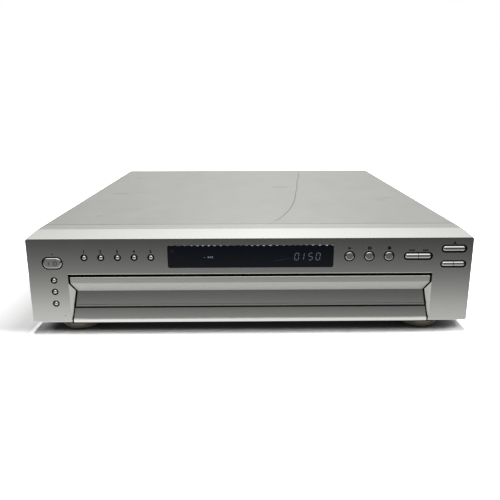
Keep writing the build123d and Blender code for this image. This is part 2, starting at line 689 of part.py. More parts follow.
# Drawer door, a hollow moulding that follows the slopes of the recess
with BuildPart() as tray_door:
    door_top = MOUTH_TOP - DOOR_TOP_GAP
    lip_depth = RECESS_D - RECESS_SLOPE * (MITRE_LOW - DOOR_LOW - DOOR_LIP_H)
    low_depth = RECESS_D - RECESS_SLOPE * (MITRE_LOW - DOOR_LOW)
    profile = [(0, door_top), (DOOR_LEAN, MITRE_TOP), (RECESS_D, MITRE_LOW), (lip_depth, DOOR_LOW + DOOR_LIP_H),
               (lip_depth - DOOR_LIP_PROUD, DOOR_LOW + DOOR_LIP_H), (low_depth - DOOR_LIP_PROUD, DOOR_LOW),
               (TRAY_FRONT_D, DOOR_LOW), (TRAY_FRONT_D, door_top)]
    slice_of(profile, side(-MOUTH_HALF), 2 * MOUTH_HALF)
    slice_of(mouth_outline(DOOR_GAP, DOOR_LOW, door_top), front(0), -TRAY_FRONT_D, Mode.INTERSECT)
    front_edge = tray_door.edges().filter_by(Axis.X).filter_by(
        lambda e: abs(e.center().Z - BASE_Z - door_top) < RUN and abs(e.center().Y - FACE_Y) < RUN)
    fillet(front_edge, radius=DOOR_EDGE_R)
    ridge_edge = tray_door.edges().filter_by(Axis.X).filter_by(
        lambda e: abs(e.center().Z - BASE_Z - MITRE_TOP) < RUN and e.center().Y < FACE_Y + 2 * DOOR_LEAN)
    fillet(ridge_edge, radius=DOOR_RIDGE_R)
    hollow_half = MOUTH_HALF - RECESS_INSET - DOOR_GAP - DOOR_WALL
    hollow = [(DOOR_WALL, door_top - DOOR_WALL), (DOOR_WALL, MITRE_TOP + DOOR_WALL / 3),
              (RECESS_D + DOOR_WALL, MITRE_LOW + DOOR_WALL / 3),
              (lip_depth + DOOR_WALL, DOOR_LOW + DOOR_WALL),
              (TRAY_FRONT_D, DOOR_LOW + DOOR_WALL), (TRAY_FRONT_D, door_top - DOOR_WALL)]
    slice_of(hollow, side(-hollow_half), 2 * hollow_half, Mode.SUBTRACT)
tray_door.part.label = "tray_door"
export_step(tray_door.part, "parts/tray_door.step")

# Display window, let in from behind with a lip round it
with BuildPart() as display_window:
    window_mid = (0, (WINDOW_LOW + WINDOW_TOP) / 2)
    with BuildSketch(front(WINDOW_SET_BACK)):
        with Locations(window_mid):
            RectangleRounded(2 * (WINDOW_HALF - RUN), WINDOW_TOP - WINDOW_LOW - 2 * RUN, WINDOW_R - RUN)
    extrude(amount=WINDOW_SET_BACK - PANEL_WALL)
    with BuildSketch(front(PANEL_WALL)):
        with Locations(window_mid):
            lip_h = WINDOW_TOP - WINDOW_LOW + 2 * WINDOW_LIP
            RectangleRounded(2 * (WINDOW_HALF + WINDOW_LIP), lip_h, WINDOW_R)
    extrude(amount=-WINDOW_LIP_T)
display_window.part.label = "display_window"
export_step(display_window.part, "parts/display_window.step")

# Display tube on the control board, a glass box with a sealed-off tip, in its holder
with BuildPart() as display_tube:
    block((-TUBE_HALF, TUBE_HALF), (TUBE_FRONT_D, BOARD_D), (TUBE_LOW, TUBE_TOP))
    glass_edges = display_tube.faces().sort_by(Axis.Y)[0].edges()
    chamfer(glass_edges, length=1.0)
    block((-TUBE_HALF - 2, TUBE_HALF + 2), (BOARD_D - 1.5, BOARD_D), (TUBE_LOW - 1, TUBE_TOP + 1))
display_tube.part.label = "display_tube"
export_step(display_tube.part, "parts/display_tube.step")

# Remote receiver behind the window's corner
with BuildPart() as remote_receiver:
    block((RECEIVER_X - RECEIVER_W / 2, RECEIVER_X - FIT + RECEIVER_W / 2), (BOARD_D - 4, BOARD_D),
          (RECEIVER_Z - RECEIVER_H / 2, RECEIVER_Z + RECEIVER_H / 2))
    barrel((RECEIVER_X, RECEIVER_Z), RECEIVER_W / 3, (BOARD_D - 6, BOARD_D - 4))
remote_receiver.part.label = "remote_receiver"
export_step(remote_receiver.part, "parts/remote_receiver.step")

# Standby lamp with its light guide through the panel
with BuildPart() as standby_lamp:
    barrel((LAMP_X, LAMP_Z), LAMP_R, (0, PANEL_WALL + FIT))
    barrel((LAMP_X, LAMP_Z), LAMP_BODY_R, (PANEL_WALL + FIT, BOARD_D))
standby_lamp.part.label = "standby_lamp"
export_step(standby_lamp.part, "parts/standby_lamp.step")

# Control board behind the face, and a small one beside the drawer
with BuildPart() as control_board:
    block((-board_edge, board_edge), (BOARD_D, BOARD_D + BOARD_T), (BOARD_LOW, BOARD_TOP))
    block((-board_edge, -board_edge + SIDE_BOARD_W), (BOARD_D, BOARD_D + BOARD_T),
          (SIDE_BOARD_LOW, SIDE_BOARD_TOP))
control_board.part.label = "control_board"
export_step(control_board.part, "parts/control_board.step")


def key_outline(centre, width, height):
    """Round or long outline of a key, drawn in the sketch that is open."""
    with Locations(centre):
        if width > height:
            SlotOverall(width, height)
        else:
            Circle(width / 2)


def key(name, centre, size, round_share, part_of=0):
    """One moulded key: rounded cap, flange behind the panel and stem; a split key keeps one side."""
    width, height = size
    switch_x = centre[0] + part_of * width / 4
    flange_d = PANEL_WALL + FIT
    grow = 2 * (KEY_GAP + KEY_FLANGE)
    with BuildPart() as button:
        with BuildSketch(front(-BUTTON_PROUD)) as cap:
            key_outline(centre, width, height)
        extrude(cap.sketch, amount=-BUTTON_PROUD - flange_d)
        fillet(button.faces().sort_by(Axis.Y)[0].edges(), radius=round_share * min(width, height) / 2)
        with BuildSketch(front(flange_d)) as flange:
            key_outline(centre, width + grow, height + grow)
        extrude(flange.sketch, amount=-KEY_FLANGE_T)
        if part_of:
            far_side = sorted((centre[0] + part_of * SPLIT_GAP / 2, centre[0] - part_of * width))
            block(far_side, (-BUTTON_PROUD - FIT, flange_d + KEY_FLANGE_T + FIT),
                  (centre[1] - height, centre[1] + height), Mode.SUBTRACT)
        barrel((switch_x, centre[1]), STEM_R, (flange_d + KEY_FLANGE_T, STEM_END_D))
    button.part.label = name
    export_step(button.part, f"parts/{name}.step")
    return switch_x, centre[1]


# Keys, each a moving piece of its own, and the place of the switch behind each
switch_places = [key("power_button", (POWER_X, POWER_Z), (POWER_W, POWER_H), FLAT_SHARE)]
for number, (x, z, radius) in enumerate(disc_keys, 1):
    switch_places.append(key(f"disc_{number}_button", (x, z), (2 * radius, 2 * radius), DOME_SHARE))
for name, (x, z, radius) in zip(("picture_mode_button", "surround_button", "display_button"), side_keys):
    switch_places.append(key(name, (x, z), (2 * radius, 2 * radius), DOME_SHARE))
for name, (x, z, radius) in zip(("play_button", "pause_button", "stop_button"), play_keys):
    switch_places.append(key(name, (x, z), (2 * radius, 2 * radius), FLAT_SHARE))
switch_places.append(key("open_close_button", (OPEN_X, OPEN_Z), (OPEN_W, OPEN_H), DOME_SHARE))
split_keys = (("previous_button", -1, SKIP_X, SKIP_Z, SKIP_W, SKIP_H),
              ("next_button", 1, SKIP_X, SKIP_Z, SKIP_W, SKIP_H),
              ("exchange_button", -1, EXCHANGE_X, EXCHANGE_Z, EXCHANGE_W, EXCHANGE_H),
              ("disc_skip_button", 1, EXCHANGE_X, EXCHANGE_Z, EXCHANGE_W, EXCHANGE_H))
for name, part_of, x, z, width, height in split_keys:
    switch_places.append(key(name, (x, z), (width, height), DOME_SHARE, part_of))

# Push switches on the boards, one for each key
with BuildPart() as key_switches:
    for x, z in switch_places:
        block((x - SWITCH_W / 2, x + SWITCH_W / 2), (BOARD_D - SWITCH_BODY_H, BOARD_D),
              (z - SWITCH_W / 2, z + SWITCH_W / 2))
        barrel((x, z), PLUNGER_R, (BOARD_D - SWITCH_BODY_H - PLUNGER_H, BOARD_D - SWITCH_BODY_H))
key_switches.part.label = "key_switches"
export_step(key_switches.part, "parts/key_switches.step")

# Chassis: a folded plate with side, front and rear flanges and standoffs
side_screws = [(depth, SIDE_SCREW_H) for depth in SIDE_SCREW_D]
with BuildPart() as chassis_base:
    block((-CHASSIS_HALF, CHASSIS_HALF), (TRAY_FRONT_D, REAR_PANEL_D), (PLATE_LIFT, PLATE_TOP))
    block((-FOOT_X, FOOT_X), (TRAY_FRONT_D, TRAY_FRONT_D + SHEET), (PLATE_LIFT, FASCIA_TOP - 1.4))
    block((-CHASSIS_HALF, CHASSIS_HALF), (REAR_PANEL_D - SHEET, REAR_PANEL_D), (PLATE_LIFT, REAR_FLANGE_H))
    for x in (-1, 1):
        wall = sorted((x * CHASSIS_HALF, x * (CHASSIS_HALF - SHEET)))
        block(wall, (PANEL_D + LIP_L + FIT, REAR_PANEL_D), (PLATE_LIFT, FLANGE_H))
        with BuildSketch(side(x * CHASSIS_HALF)) as screw_holes:
            with Locations(*side_screws):
                Circle(REAR_SCREW_R + RUN / 2)
        extrude(screw_holes.sketch, amount=-2 * x * SHEET, mode=Mode.SUBTRACT)
    board_standoffs = [(x, y) for x in (-POWER_BOARD_OUT + 4, -POWER_BOARD_IN - 4)
                       for y in (POWER_BOARD_FRONT_D + 6, POWER_BOARD_BACK_D - 6)]
    for centre in board_standoffs:
        post(centre, 3.0, (PLATE_TOP, POWER_BOARD_LIFT))
    with BuildSketch(level(PLATE_LIFT)) as vents:
        with Locations((CHASSIS_HALF - VENT_INSET, CABINET_D / 2)):
            with GridLocations(1, VENT_PITCH, 1, VENT_COUNT):
                SlotOverall(VENT_L, VENT_W)
    extrude(vents.sketch, amount=SHEET, mode=Mode.SUBTRACT)
chassis_base.part.label = "chassis_base"
export_step(chassis_base.part, "parts/chassis_base.step")

# Top cover: one folded sheet with a hem round the rear
with BuildPart() as top_cover:
    block((-COVER_W / 2, COVER_W / 2), (PANEL_D + FIT, CABINET_D), (COVER_LIFT, COVER_H))
    top_edges = top_cover.edges().filter_by(Axis.Y).group_by(Axis.Z)[-1]
    fillet(top_edges, radius=COVER_BEND_R)
    cover_front = top_cover.faces().sort_by(Axis.Y)[0]
    cover_bottom = top_cover.faces().sort_by(Axis.Z)[0]
    offset(amount=-COVER_SHEET, openings=[cover_front, cover_bottom])
    block((-COVER_IN + HEM, COVER_IN - HEM), (HEM_D - FIT, CABINET_D + FIT), (0, COVER_H - COVER_SHEET - HEM),
          Mode.SUBTRACT)
    for x in (-1, 1):
        with BuildSketch(side(x * COVER_W / 2)) as cover_holes:
            with Locations(*side_screws):
                Circle(REAR_SCREW_R + RUN / 2)
        extrude(cover_holes.sketch, amount=-2 * x * COVER_SHEET, mode=Mode.SUBTRACT)
top_cover.part.label = "top_cover"
export_step(top_cover.part, "parts/top_cover.step")

# Low-headed screws that hold the cover's sides
with BuildPart() as cover_screws:
    for x in (-1, 1):
        for radius, length in ((SCREW_HEAD_R, SCREW_HEAD_T), (REAR_SCREW_R, -SCREW_L)):
            with BuildSketch(side(x * COVER_W / 2)) as shank:
                with Locations(*side_screws):
                    Circle(radius)
            extrude(shank.sketch, amount=x * length)
cover_screws.part.label = "cover_screws"
export_step(cover_screws.part, "parts/cover_screws.step")

# Rear panel with holes for the jacks and the mains inlet, and rows of vents
socket_z = MAIN_BOARD_LOW + BOARD_T + JACK_BODY_H / 2
jack_places = [(JACK_X + (i - (JACK_COLUMNS - 1) / 2) * JACK_PITCH, socket_z + JACK_ROW * row)
               for i in range(JACK_COLUMNS) for row in range(2)]
with BuildPart() as rear_panel:
    panel_half = COVER_IN - FIT
    block((-panel_half, panel_half), (REAR_PANEL_D, HEM_D), (PLATE_LIFT, COVER_H - COVER_SHEET - FIT))
    fillet(rear_panel.edges().filter_by(Axis.Y).group_by(Axis.Z)[-1], radius=COVER_BEND_R)
    for centre in jack_places:
        barrel(centre, JACK_R + FIT, (REAR_PANEL_D - FIT, HEM_D + FIT), Mode.SUBTRACT)
    barrel((ROUND_SOCKET_X, socket_z), ROUND_SOCKET_R + FIT, (REAR_PANEL_D, HEM_D), Mode.SUBTRACT)
    light_half = LIGHT_SOCKET_W / 2 + FIT
    block((LIGHT_SOCKET_X - light_half, LIGHT_SOCKET_X + light_half), (REAR_PANEL_D, HEM_D),
          (socket_z - light_half, socket_z + light_half), Mode.SUBTRACT)
    with BuildSketch(front(REAR_PANEL_D)) as inlet_hole:
        with Locations((INLET_X, INLET_Z)):
            SlotOverall(INLET_W + 2 * RUN, INLET_H + 2 * RUN)
    extrude(inlet_hole.sketch, amount=-SHEET, mode=Mode.SUBTRACT)
    with BuildSketch(front(REAR_PANEL_D)) as rear_vents:
        with Locations((REAR_VENT_X, REAR_VENT_Z)):
            with GridLocations(REAR_VENT_PITCH, REAR_VENT_ROW, REAR_VENT_COUNT, 2):
                SlotOverall(REAR_VENT_L, REAR_VENT_W, rotation=90)
    extrude(rear_vents.sketch, amount=-SHEET, mode=Mode.SUBTRACT)
rear_panel.part.label = "rear_panel"
export_step(rear_panel.part, "parts/rear_panel.step")

# Feet: a skirted dish with a boss up to the chassis, and a soft pad under each
foot_places = [(x, y) for x in (-FOOT_X, FOOT_X) for y in (FRONT_FOOT_D, REAR_FOOT_D)]
pad_top = -FOOT_H + FOOT_PAD_H
with BuildPart() as feet:
    for x, y in foot_places:
        with BuildSketch(side(x)) as dish:
            with BuildLine():
                Polyline((y, pad_top), (y + FOOT_R - 1.4, pad_top), (y + FOOT_R, pad_top + 1.2),
                         (y + FOOT_R, -FOOT_GAP - 1), (y + FOOT_R - 1, -FOOT_GAP), (y + FOOT_BOSS_R, -FOOT_GAP),
                         (y + FOOT_BOSS_R, PLATE_LIFT), (y, PLATE_LIFT), close=True)
            make_face()
        revolve(dish.sketch, axis=Axis((x, FACE_Y + y, 0), (0, 0, 1)))
feet.part.label = "feet"
export_step(feet.part, "parts/feet.step")

with BuildPart() as foot_pads:
    for centre in foot_places:
        post(centre, FOOT_PAD_R, (-FOOT_H, pad_top))
    chamfer(foot_pads.faces().group_by(Axis.Z)[0].edges(), length=0.5)
foot_pads.part.label = "foot_pads"
export_step(foot_pads.part, "parts/foot_pads.step")

# Loading deck
drive_x = -RACK_X - DRIVE_TEETH * DRIVE_MODULE / 2
reducer_r = REDUCER_TEETH * REDUCER_MODULE / 2
loader_r = LOADER_TEETH * REDUCER_MODULE / 2
loader_reach = reducer_r + loader_r
loader_x = drive_x + loader_reach * cos(radians(LOADER_ANGLE))
loader_d = DRIVE_D + loader_reach * sin(radians(LOADER_ANGLE))
drive_low = TRAY_LOW + FIT
drive_top = drive_low + DRIVE_T
loader_pulley_low = REDUCER_LOW + REDUCER_T + 1.5
loader_pulley_top = loader_pulley_low + PULLEY_T
shelf_low = loader_pulley_top + 0.8
slide_front_d = SPINDLE_D - LIFT_SLIDE_FRONT
well_front_d = SPINDLE_D - HOLDER_FRONT - 2.2


def window_half(radius):
    """Half length of the deck wall's window for a gear of this radius."""
    reach = -drive_x - DECK_WALL_IN - DECK_WALL_T
    return sqrt(radius**2 - reach**2) + 1.5


with BuildPart() as deck_frame:
    wall_out = DECK_WALL_IN + DECK_WALL_T
    block((-wall_out, wall_out), (DECK_FRONT_D, DECK_BACK_D), (DECK_LIFT, DECK_TOP))
    block((-PICKUP_WELL_HALF, PICKUP_WELL_HALF), (well_front_d, DECK_BACK_D - BOARD_POST_BACK), (0, DECK_TOP),
          Mode.SUBTRACT)
    block((-EAR_OUT, -wall_out), (EAR_FRONT_D, EAR_BACK_D), (DECK_LIFT, DECK_TOP))
    for x in (-1, 1):
        for inner, heights in ((DECK_WALL_IN, (DECK_TOP, DECK_WALL_TOP)),
                               (RUNNER_IN, (RUNNER_LOW, RUNNER_LOW + RUNNER_T)),
                               (KEEPER_IN, (KEEPER_LOW, KEEPER_LOW + KEEPER_T))):
            block(sorted((x * inner, x * wall_out)), (DECK_FRONT_D, DECK_WALL_BACK_D), heights)
        for depth in (DECK_FRONT_D + DECK_POST_END, SPINDLE_D - DECK_POST_BEFORE_SPINDLE,
                      DECK_BACK_D - DECK_POST_END):
            post((x * (wall_out - DECK_POST_IN), depth), DECK_POST_R, (PLATE_TOP, DECK_LIFT))
        post((x * (MAIN_BOARD_HALF - BOARD_POST_IN), DECK_BACK_D - BOARD_POST_BACK), BOARD_POST_R,
             (DECK_TOP, MAIN_BOARD_LOW))
        ear = sorted((x * (HOLDER_HALF + HINGE_PIN_L / 2), x * (HOLDER_HALF + HINGE_PIN_L / 2 + HINGE_EAR_T)))
        block(ear, (HINGE_D - 5, DECK_BACK_D), (DECK_LIFT, HINGE_H + 5))
        with BuildSketch(side(ear[0])) as hinge_hole:
            with Locations((HINGE_D, HINGE_H)):
                Circle(HINGE_PIN_R + RUN)
        extrude(hinge_hole.sketch, amount=HINGE_EAR_T, mode=Mode.SUBTRACT)
    drive_tip = DRIVE_MODULE * (DRIVE_TEETH / 2 + ADDENDUM)
    reducer_tip = REDUCER_MODULE * (REDUCER_TEETH / 2 + ADDENDUM)
    for radius, heights in ((drive_tip, (RUNNER_LOW + RUNNER_T, KEEPER_LOW)),
                            (reducer_tip, (DECK_TOP + 1, REDUCER_LOW + REDUCER_T + 1.5))):
        half = window_half(radius)
        block((-wall_out - FIT, -DECK_WALL_IN + FIT), (DRIVE_D - half, DRIVE_D + half), heights, Mode.SUBTRACT)
    for centre, top in (((drive_x, DRIVE_D), drive_top), ((loader_x, loader_d), loader_pulley_top)):
        post(centre, AXLE_R, (DECK_TOP, top + AXLE_TIP))
        post(centre, AXLE_R + AXLE_FOOT, (DECK_TOP, REDUCER_LOW - FIT))
    for x in (-MOTOR_POST_X, MOTOR_POST_X):
        for y in (-MOTOR_POST_D, MOTOR_POST_D):
            post((loader_x + x, LOADER_MOTOR_D + y), MOTOR_POST_R, (DECK_TOP, shelf_low))
    block((loader_x - MOTOR_POST_X - MOTOR_POST_R, loader_x + MOTOR_SHELF_D),
          (LOADER_MOTOR_D - MOTOR_SHELF_D, LOADER_MOTOR_D + MOTOR_SHELF_D), (shelf_low, shelf_low + SHELF_T))
    post((loader_x, LOADER_MOTOR_D), MOTOR_PULLEY_R + 1, (shelf_low, shelf_low + SHELF_T), Mode.SUBTRACT)
    for depth in (EAR_BACK_D - EAR_POST_IN, EAR_FRONT_D + EAR_POST_IN):
        post((-EAR_OUT + EAR_POST_IN, depth), EAR_POST_R, (PLATE_TOP, DECK_LIFT))
    rail_half = LIFT_TRAVEL + 2 * LIFT_MARGIN
    block((-rail_half, rail_half), (slide_front_d - FIT - 1.5, slide_front_d - FIT), (DECK_TOP, DECK_TOP + 2))
    slide_back_d = slide_front_d + LIFT_SLIDE_T
    block((-rail_half, rail_half), (slide_back_d + FIT, slide_back_d + FIT + 1), (DECK_TOP, DECK_TOP + 2))
deck_frame.part.label = "deck_frame"
export_step(deck_frame.part, "parts/deck_frame.step")

# Loading gear train: rack gear, pulley gear and motor pulley, with the motor and the belt
with BuildPart() as drive_gear:
    gear_teeth((drive_x, DRIVE_D), REDUCER_TEETH, REDUCER_MODULE, (REDUCER_LOW, REDUCER_LOW + REDUCER_T),
               LOADER_ANGLE)
    post((drive_x, DRIVE_D), AXLE_R + 3, (REDUCER_LOW + REDUCER_T, drive_low))
    gear_teeth((drive_x, DRIVE_D), DRIVE_TEETH, DRIVE_MODULE, (drive_low, drive_top), 0)
    with BuildSketch(level(REDUCER_LOW)) as lightening:
        with Locations((drive_x, DRIVE_D)):
            with PolarLocations(reducer_r * 0.6, 6):
                Circle(3.4)
    extrude(lightening.sketch, amount=REDUCER_T, mode=Mode.SUBTRACT)
    post((drive_x, DRIVE_D), AXLE_R + RUN, (REDUCER_LOW, drive_top), Mode.SUBTRACT)
drive_gear.part.label = "drive_gear"
export_step(drive_gear.part, "parts/drive_gear.step")

with BuildPart() as pulley_gear:
    gap_angle = LOADER_ANGLE + 180 + 180 / LOADER_TEETH
    gear_teeth((loader_x, loader_d), LOADER_TEETH, REDUCER_MODULE, (REDUCER_LOW, loader_pulley_low), gap_angle)
    post((loader_x, loader_d), LOADER_PULLEY_R, (loader_pulley_low, loader_pulley_top))
    post((loader_x, loader_d), AXLE_R + RUN, (REDUCER_LOW, loader_pulley_top), Mode.SUBTRACT)
pulley_gear.part.label = "pulley_gear"
export_step(pulley_gear.part, "parts/pulley_gear.step")

motor_shaft_low = loader_pulley_low - 1
with BuildPart() as loading_motor:
    post((loader_x, LOADER_MOTOR_D), MOTOR_R, (shelf_low + SHELF_T, shelf_low + SHELF_T + LOADER_MOTOR_H))
    fillet(loading_motor.edges().group_by(Axis.Z)[-1], radius=1.5)
    post((loader_x, LOADER_MOTOR_D), MOTOR_SHAFT_R, (motor_shaft_low, shelf_low + SHELF_T))
loading_motor.part.label = "loading_motor"
export_step(loading_motor.part, "parts/loading_motor.step")

with BuildPart() as loading_pulley:
    post((loader_x, LOADER_MOTOR_D), MOTOR_PULLEY_R, (loader_pulley_low, loader_pulley_top))
    post((loader_x, LOADER_MOTOR_D), MOTOR_SHAFT_R + RUN, (loader_pulley_low, loader_pulley_top), Mode.SUBTRACT)
loading_pulley.part.label = "loading_pulley"
export_step(loading_pulley.part, "parts/loading_pulley.step")

with BuildPart() as loading_belt:
    belt_round((loader_x, loader_d), LOADER_PULLEY_R, (loader_x, LOADER_MOTOR_D), MOTOR_PULLEY_R,
               (loader_pulley_low + FIT, loader_pulley_top - FIT))
loading_belt.part.label = "loading_belt"
export_step(loading_belt.part, "parts/loading_belt.step")

# Sliding tray with its runners, rack, corner decks and carousel post
ring_pitch_r = RING_TEETH * RING_MODULE / 2
table_reach = ring_pitch_r + TABLE_TEETH * RING_MODULE / 2
table_x = table_reach * cos(radians(TABLE_ANGLE))
table_d = CAROUSEL_D + table_reach * sin(radians(TABLE_ANGLE))
table_pulley_low = RING_LOW + RING_T + 0.8
table_pulley_top = table_pulley_low + PULLEY_T
shelf_under = table_pulley_top + 0.4
shelf_over = shelf_under + 1.2
with BuildPart() as tray:
    wall_in = TRAY_WALL_OUT - TRAY_WALL_T
    tray_wide = (-TRAY_WALL_OUT, TRAY_WALL_OUT)
    flange_heights = (TRAY_LOW, TRAY_LOW + TRAY_FLANGE_T)
    block(tray_wide, (TRAY_FRONT_D, TRAY_BACK_D), (TRAY_LOW, TRAY_FLOOR_TOP))
    block((TRAY_WALL_OUT - 1, TRAY_HALF), (TRAY_FRONT_D + 2, TRAY_BACK_D), flange_heights)
    for depths in ((TRAY_FRONT_D + 2, RACK_FRONT_D - 6), (RACK_BACK_D + 6, TRAY_BACK_D)):
        block((-TRAY_HALF, -TRAY_WALL_OUT + 1), depths, flange_heights)
    for x in (-1, 1):
        wall = sorted((x * wall_in, x * TRAY_WALL_OUT))
        block(wall, (TRAY_FRONT_D, TRAY_BACK_D), (TRAY_FLOOR_TOP, TRAY_LOW_WALL_H))
        block(wall, (TRAY_FRONT_D, TRAY_CORNER_BACK_D), (TRAY_LOW_WALL_H, TRAY_TOP))
    block(tray_wide, (TRAY_FRONT_D, TRAY_FRONT_D + TRAY_FRONT_T), (TRAY_FLOOR_TOP, TRAY_TOP))
    block(tray_wide, (TRAY_FRONT_D, TRAY_CORNER_BACK_D), (TRAY_TOP - TRAY_CORNER_T, TRAY_TOP))
    post((0, CAROUSEL_D), CAROUSEL_R + 1, (TRAY_LOW_WALL_H, TRAY_TOP), Mode.SUBTRACT)
    block((-TRAY_GAP_HALF, TRAY_GAP_HALF), (TRAY_GAP_FRONT_D, TRAY_BACK_D), (TRAY_LOW, TRAY_TOP),
          Mode.SUBTRACT)
    rack_teeth(-RACK_X, -1, DRIVE_D, (RACK_FRONT_D, RACK_BACK_D), DRIVE_MODULE, (TRAY_LOW, TRAY_FLOOR_TOP),
               3.0)
    post((0, CAROUSEL_D), SPINDLE_POST_R, (TRAY_FLOOR_TOP, SPINDLE_POST_TOP))
    fillet(tray.faces().filter_by(Axis.Z).filter_by(
        lambda f: abs(f.center().Z - BASE_Z - SPINDLE_POST_TOP) < RUN).edges(), radius=1.0)
    for i in range(PAD_COUNT):
        pad_angle = radians(54 + 72 * i)
        pad_reach = SKIRT_R - SKIRT_T / 2
        centre = (pad_reach * cos(pad_angle), CAROUSEL_D + pad_reach * sin(pad_angle))
        post(centre, PAD_R, (TRAY_FLOOR_TOP, SKIRT_LOW - FIT))
    post((table_x, table_d), AXLE_R, (TRAY_FLOOR_TOP, table_pulley_top + AXLE_TIP))
    post((table_x, table_d), AXLE_R + AXLE_FOOT, (TRAY_FLOOR_TOP, RING_LOW - FIT))
    motor_at = (TABLE_MOTOR_X, TABLE_MOTOR_D)
    block((TABLE_MOTOR_X - MOTOR_R - 1, wall_in), (TRAY_FRONT_D + TRAY_FRONT_T, motor_at[1] + MOTOR_R + 1),
          (shelf_under, shelf_over))
    post(motor_at, MOTOR_PULLEY_R + 1, (shelf_under, shelf_over), Mode.SUBTRACT)
    for x in (TABLE_MOTOR_X - MOTOR_R + 1.5, wall_in - 1):
        post((x, motor_at[1] + MOTOR_R - 2), 2.0, (TRAY_FLOOR_TOP, shelf_under))
tray.part.label = "tray"
export_step(tray.part, "parts/tray.step")

# Table drive on the tray: motor, its pulley, belt and the pulley gear that meets the ring
with BuildPart() as table_motor:
    post(motor_at, MOTOR_R, (shelf_over, shelf_over + TABLE_MOTOR_H))
    fillet(table_motor.edges().group_by(Axis.Z)[-1], radius=1.0)
    post(motor_at, MOTOR_SHAFT_R, (table_pulley_low - 1, shelf_over))
table_motor.part.label = "table_motor"
export_step(table_motor.part, "parts/table_motor.step")

with BuildPart() as table_motor_pulley:
    post(motor_at, MOTOR_PULLEY_R, (table_pulley_low, table_pulley_top))
    post(motor_at, MOTOR_SHAFT_R + RUN, (table_pulley_low, table_pulley_top), Mode.SUBTRACT)
table_motor_pulley.part.label = "table_motor_pulley"
export_step(table_motor_pulley.part, "parts/table_motor_pulley.step")

with BuildPart() as table_pulley_gear:
    table_gap = TABLE_ANGLE + 180 + 180 / TABLE_TEETH
    gear_teeth((table_x, table_d), TABLE_TEETH, RING_MODULE, (RING_LOW, RING_LOW + RING_T), table_gap)
    post((table_x, table_d), AXLE_R + 2, (RING_LOW + RING_T, table_pulley_low))
    post((table_x, table_d), TABLE_PULLEY_R, (table_pulley_low, table_pulley_top))
    post((table_x, table_d), AXLE_R + RUN, (RING_LOW, table_pulley_top), Mode.SUBTRACT)
table_pulley_gear.part.label = "table_pulley_gear"
export_step(table_pulley_gear.part, "parts/table_pulley_gear.step")

with BuildPart() as table_belt:
    belt_round(motor_at, MOTOR_PULLEY_R, (table_x, table_d), TABLE_PULLEY_R,
               (table_pulley_low + FIT, table_pulley_top - FIT))
table_belt.part.label = "table_belt"
export_step(table_belt.part, "parts/table_belt.step")

# Carousel with five stepped wells, open to the rim for the pickup, over a toothed ring
with BuildPart() as carousel:
    post((0, CAROUSEL_D), CAROUSEL_R, (CAROUSEL_LOW, CAROUSEL_TOP))
    fillet(carousel.edges().group_by(Axis.Z)[-1], radius=0.8)
    post((0, CAROUSEL_D), SKIRT_R, (SKIRT_LOW, CAROUSEL_LOW))
    post((0, CAROUSEL_D), SKIRT_R - SKIRT_T, (SKIRT_LOW, CAROUSEL_LOW), Mode.SUBTRACT)
    for radius, low in ((WELL_R, WELL_DEPTH), (SMALL_WELL_R, WELL_DEPTH + SMALL_WELL_DEPTH)):
        with BuildSketch(level(CAROUSEL_TOP)) as wells:
            with Locations((0, CAROUSEL_D)):
                with PolarLocations(WELL_PITCH_R, WELL_COUNT, start_angle=90):
                    Circle(radius)
        extrude(wells.sketch, amount=-low, mode=Mode.SUBTRACT)
    slot_l = CAROUSEL_R + SLOT_W - SLOT_FROM_R
    with BuildSketch(level(SKIRT_LOW)) as slots:
        with Locations((0, CAROUSEL_D)):
            with PolarLocations(SLOT_FROM_R + slot_l / 2, WELL_COUNT, start_angle=90):
                SlotOverall(slot_l, SLOT_W)
    extrude(slots.sketch, amount=CAROUSEL_TOP - SKIRT_LOW, mode=Mode.SUBTRACT)
    post((0, CAROUSEL_D), RING_IN_R + RING_WALL_T, (RING_LOW + RING_T, CAROUSEL_LOW))
    gear_teeth((0, CAROUSEL_D), RING_TEETH, RING_MODULE, (RING_LOW, RING_LOW + RING_T), TABLE_ANGLE)
    post((0, CAROUSEL_D), RING_IN_R, (RING_LOW, CAROUSEL_LOW), Mode.SUBTRACT)
    post((0, CAROUSEL_D), HUB_R, (TRAY_FLOOR_TOP + FIT, CAROUSEL_LOW))
    with BuildSketch(level(RING_LOW + RING_T)) as ribs:
        with Locations((0, CAROUSEL_D)):
            with PolarLocations((HUB_R + RING_IN_R) / 2, WELL_COUNT, start_angle=54):
                Rectangle(RING_IN_R - HUB_R + 2, 2)
    extrude(ribs.sketch, amount=CAROUSEL_LOW - RING_LOW - RING_T)
    post((0, CAROUSEL_D), SPINDLE_POST_R + RUN, (TRAY_FLOOR_TOP, CAROUSEL_TOP), Mode.SUBTRACT)
carousel.part.label = "carousel"
export_step(carousel.part, "parts/carousel.step")

with BuildPart() as carousel_cap:
    post((0, CAROUSEL_D), CAP_R, (CAROUSEL_TOP, CAROUSEL_TOP + CAP_T))
    fillet(carousel_cap.edges().group_by(Axis.Z)[-1], radius=1.2)
carousel_cap.part.label = "carousel_cap"
export_step(carousel_cap.part, "parts/carousel_cap.step")

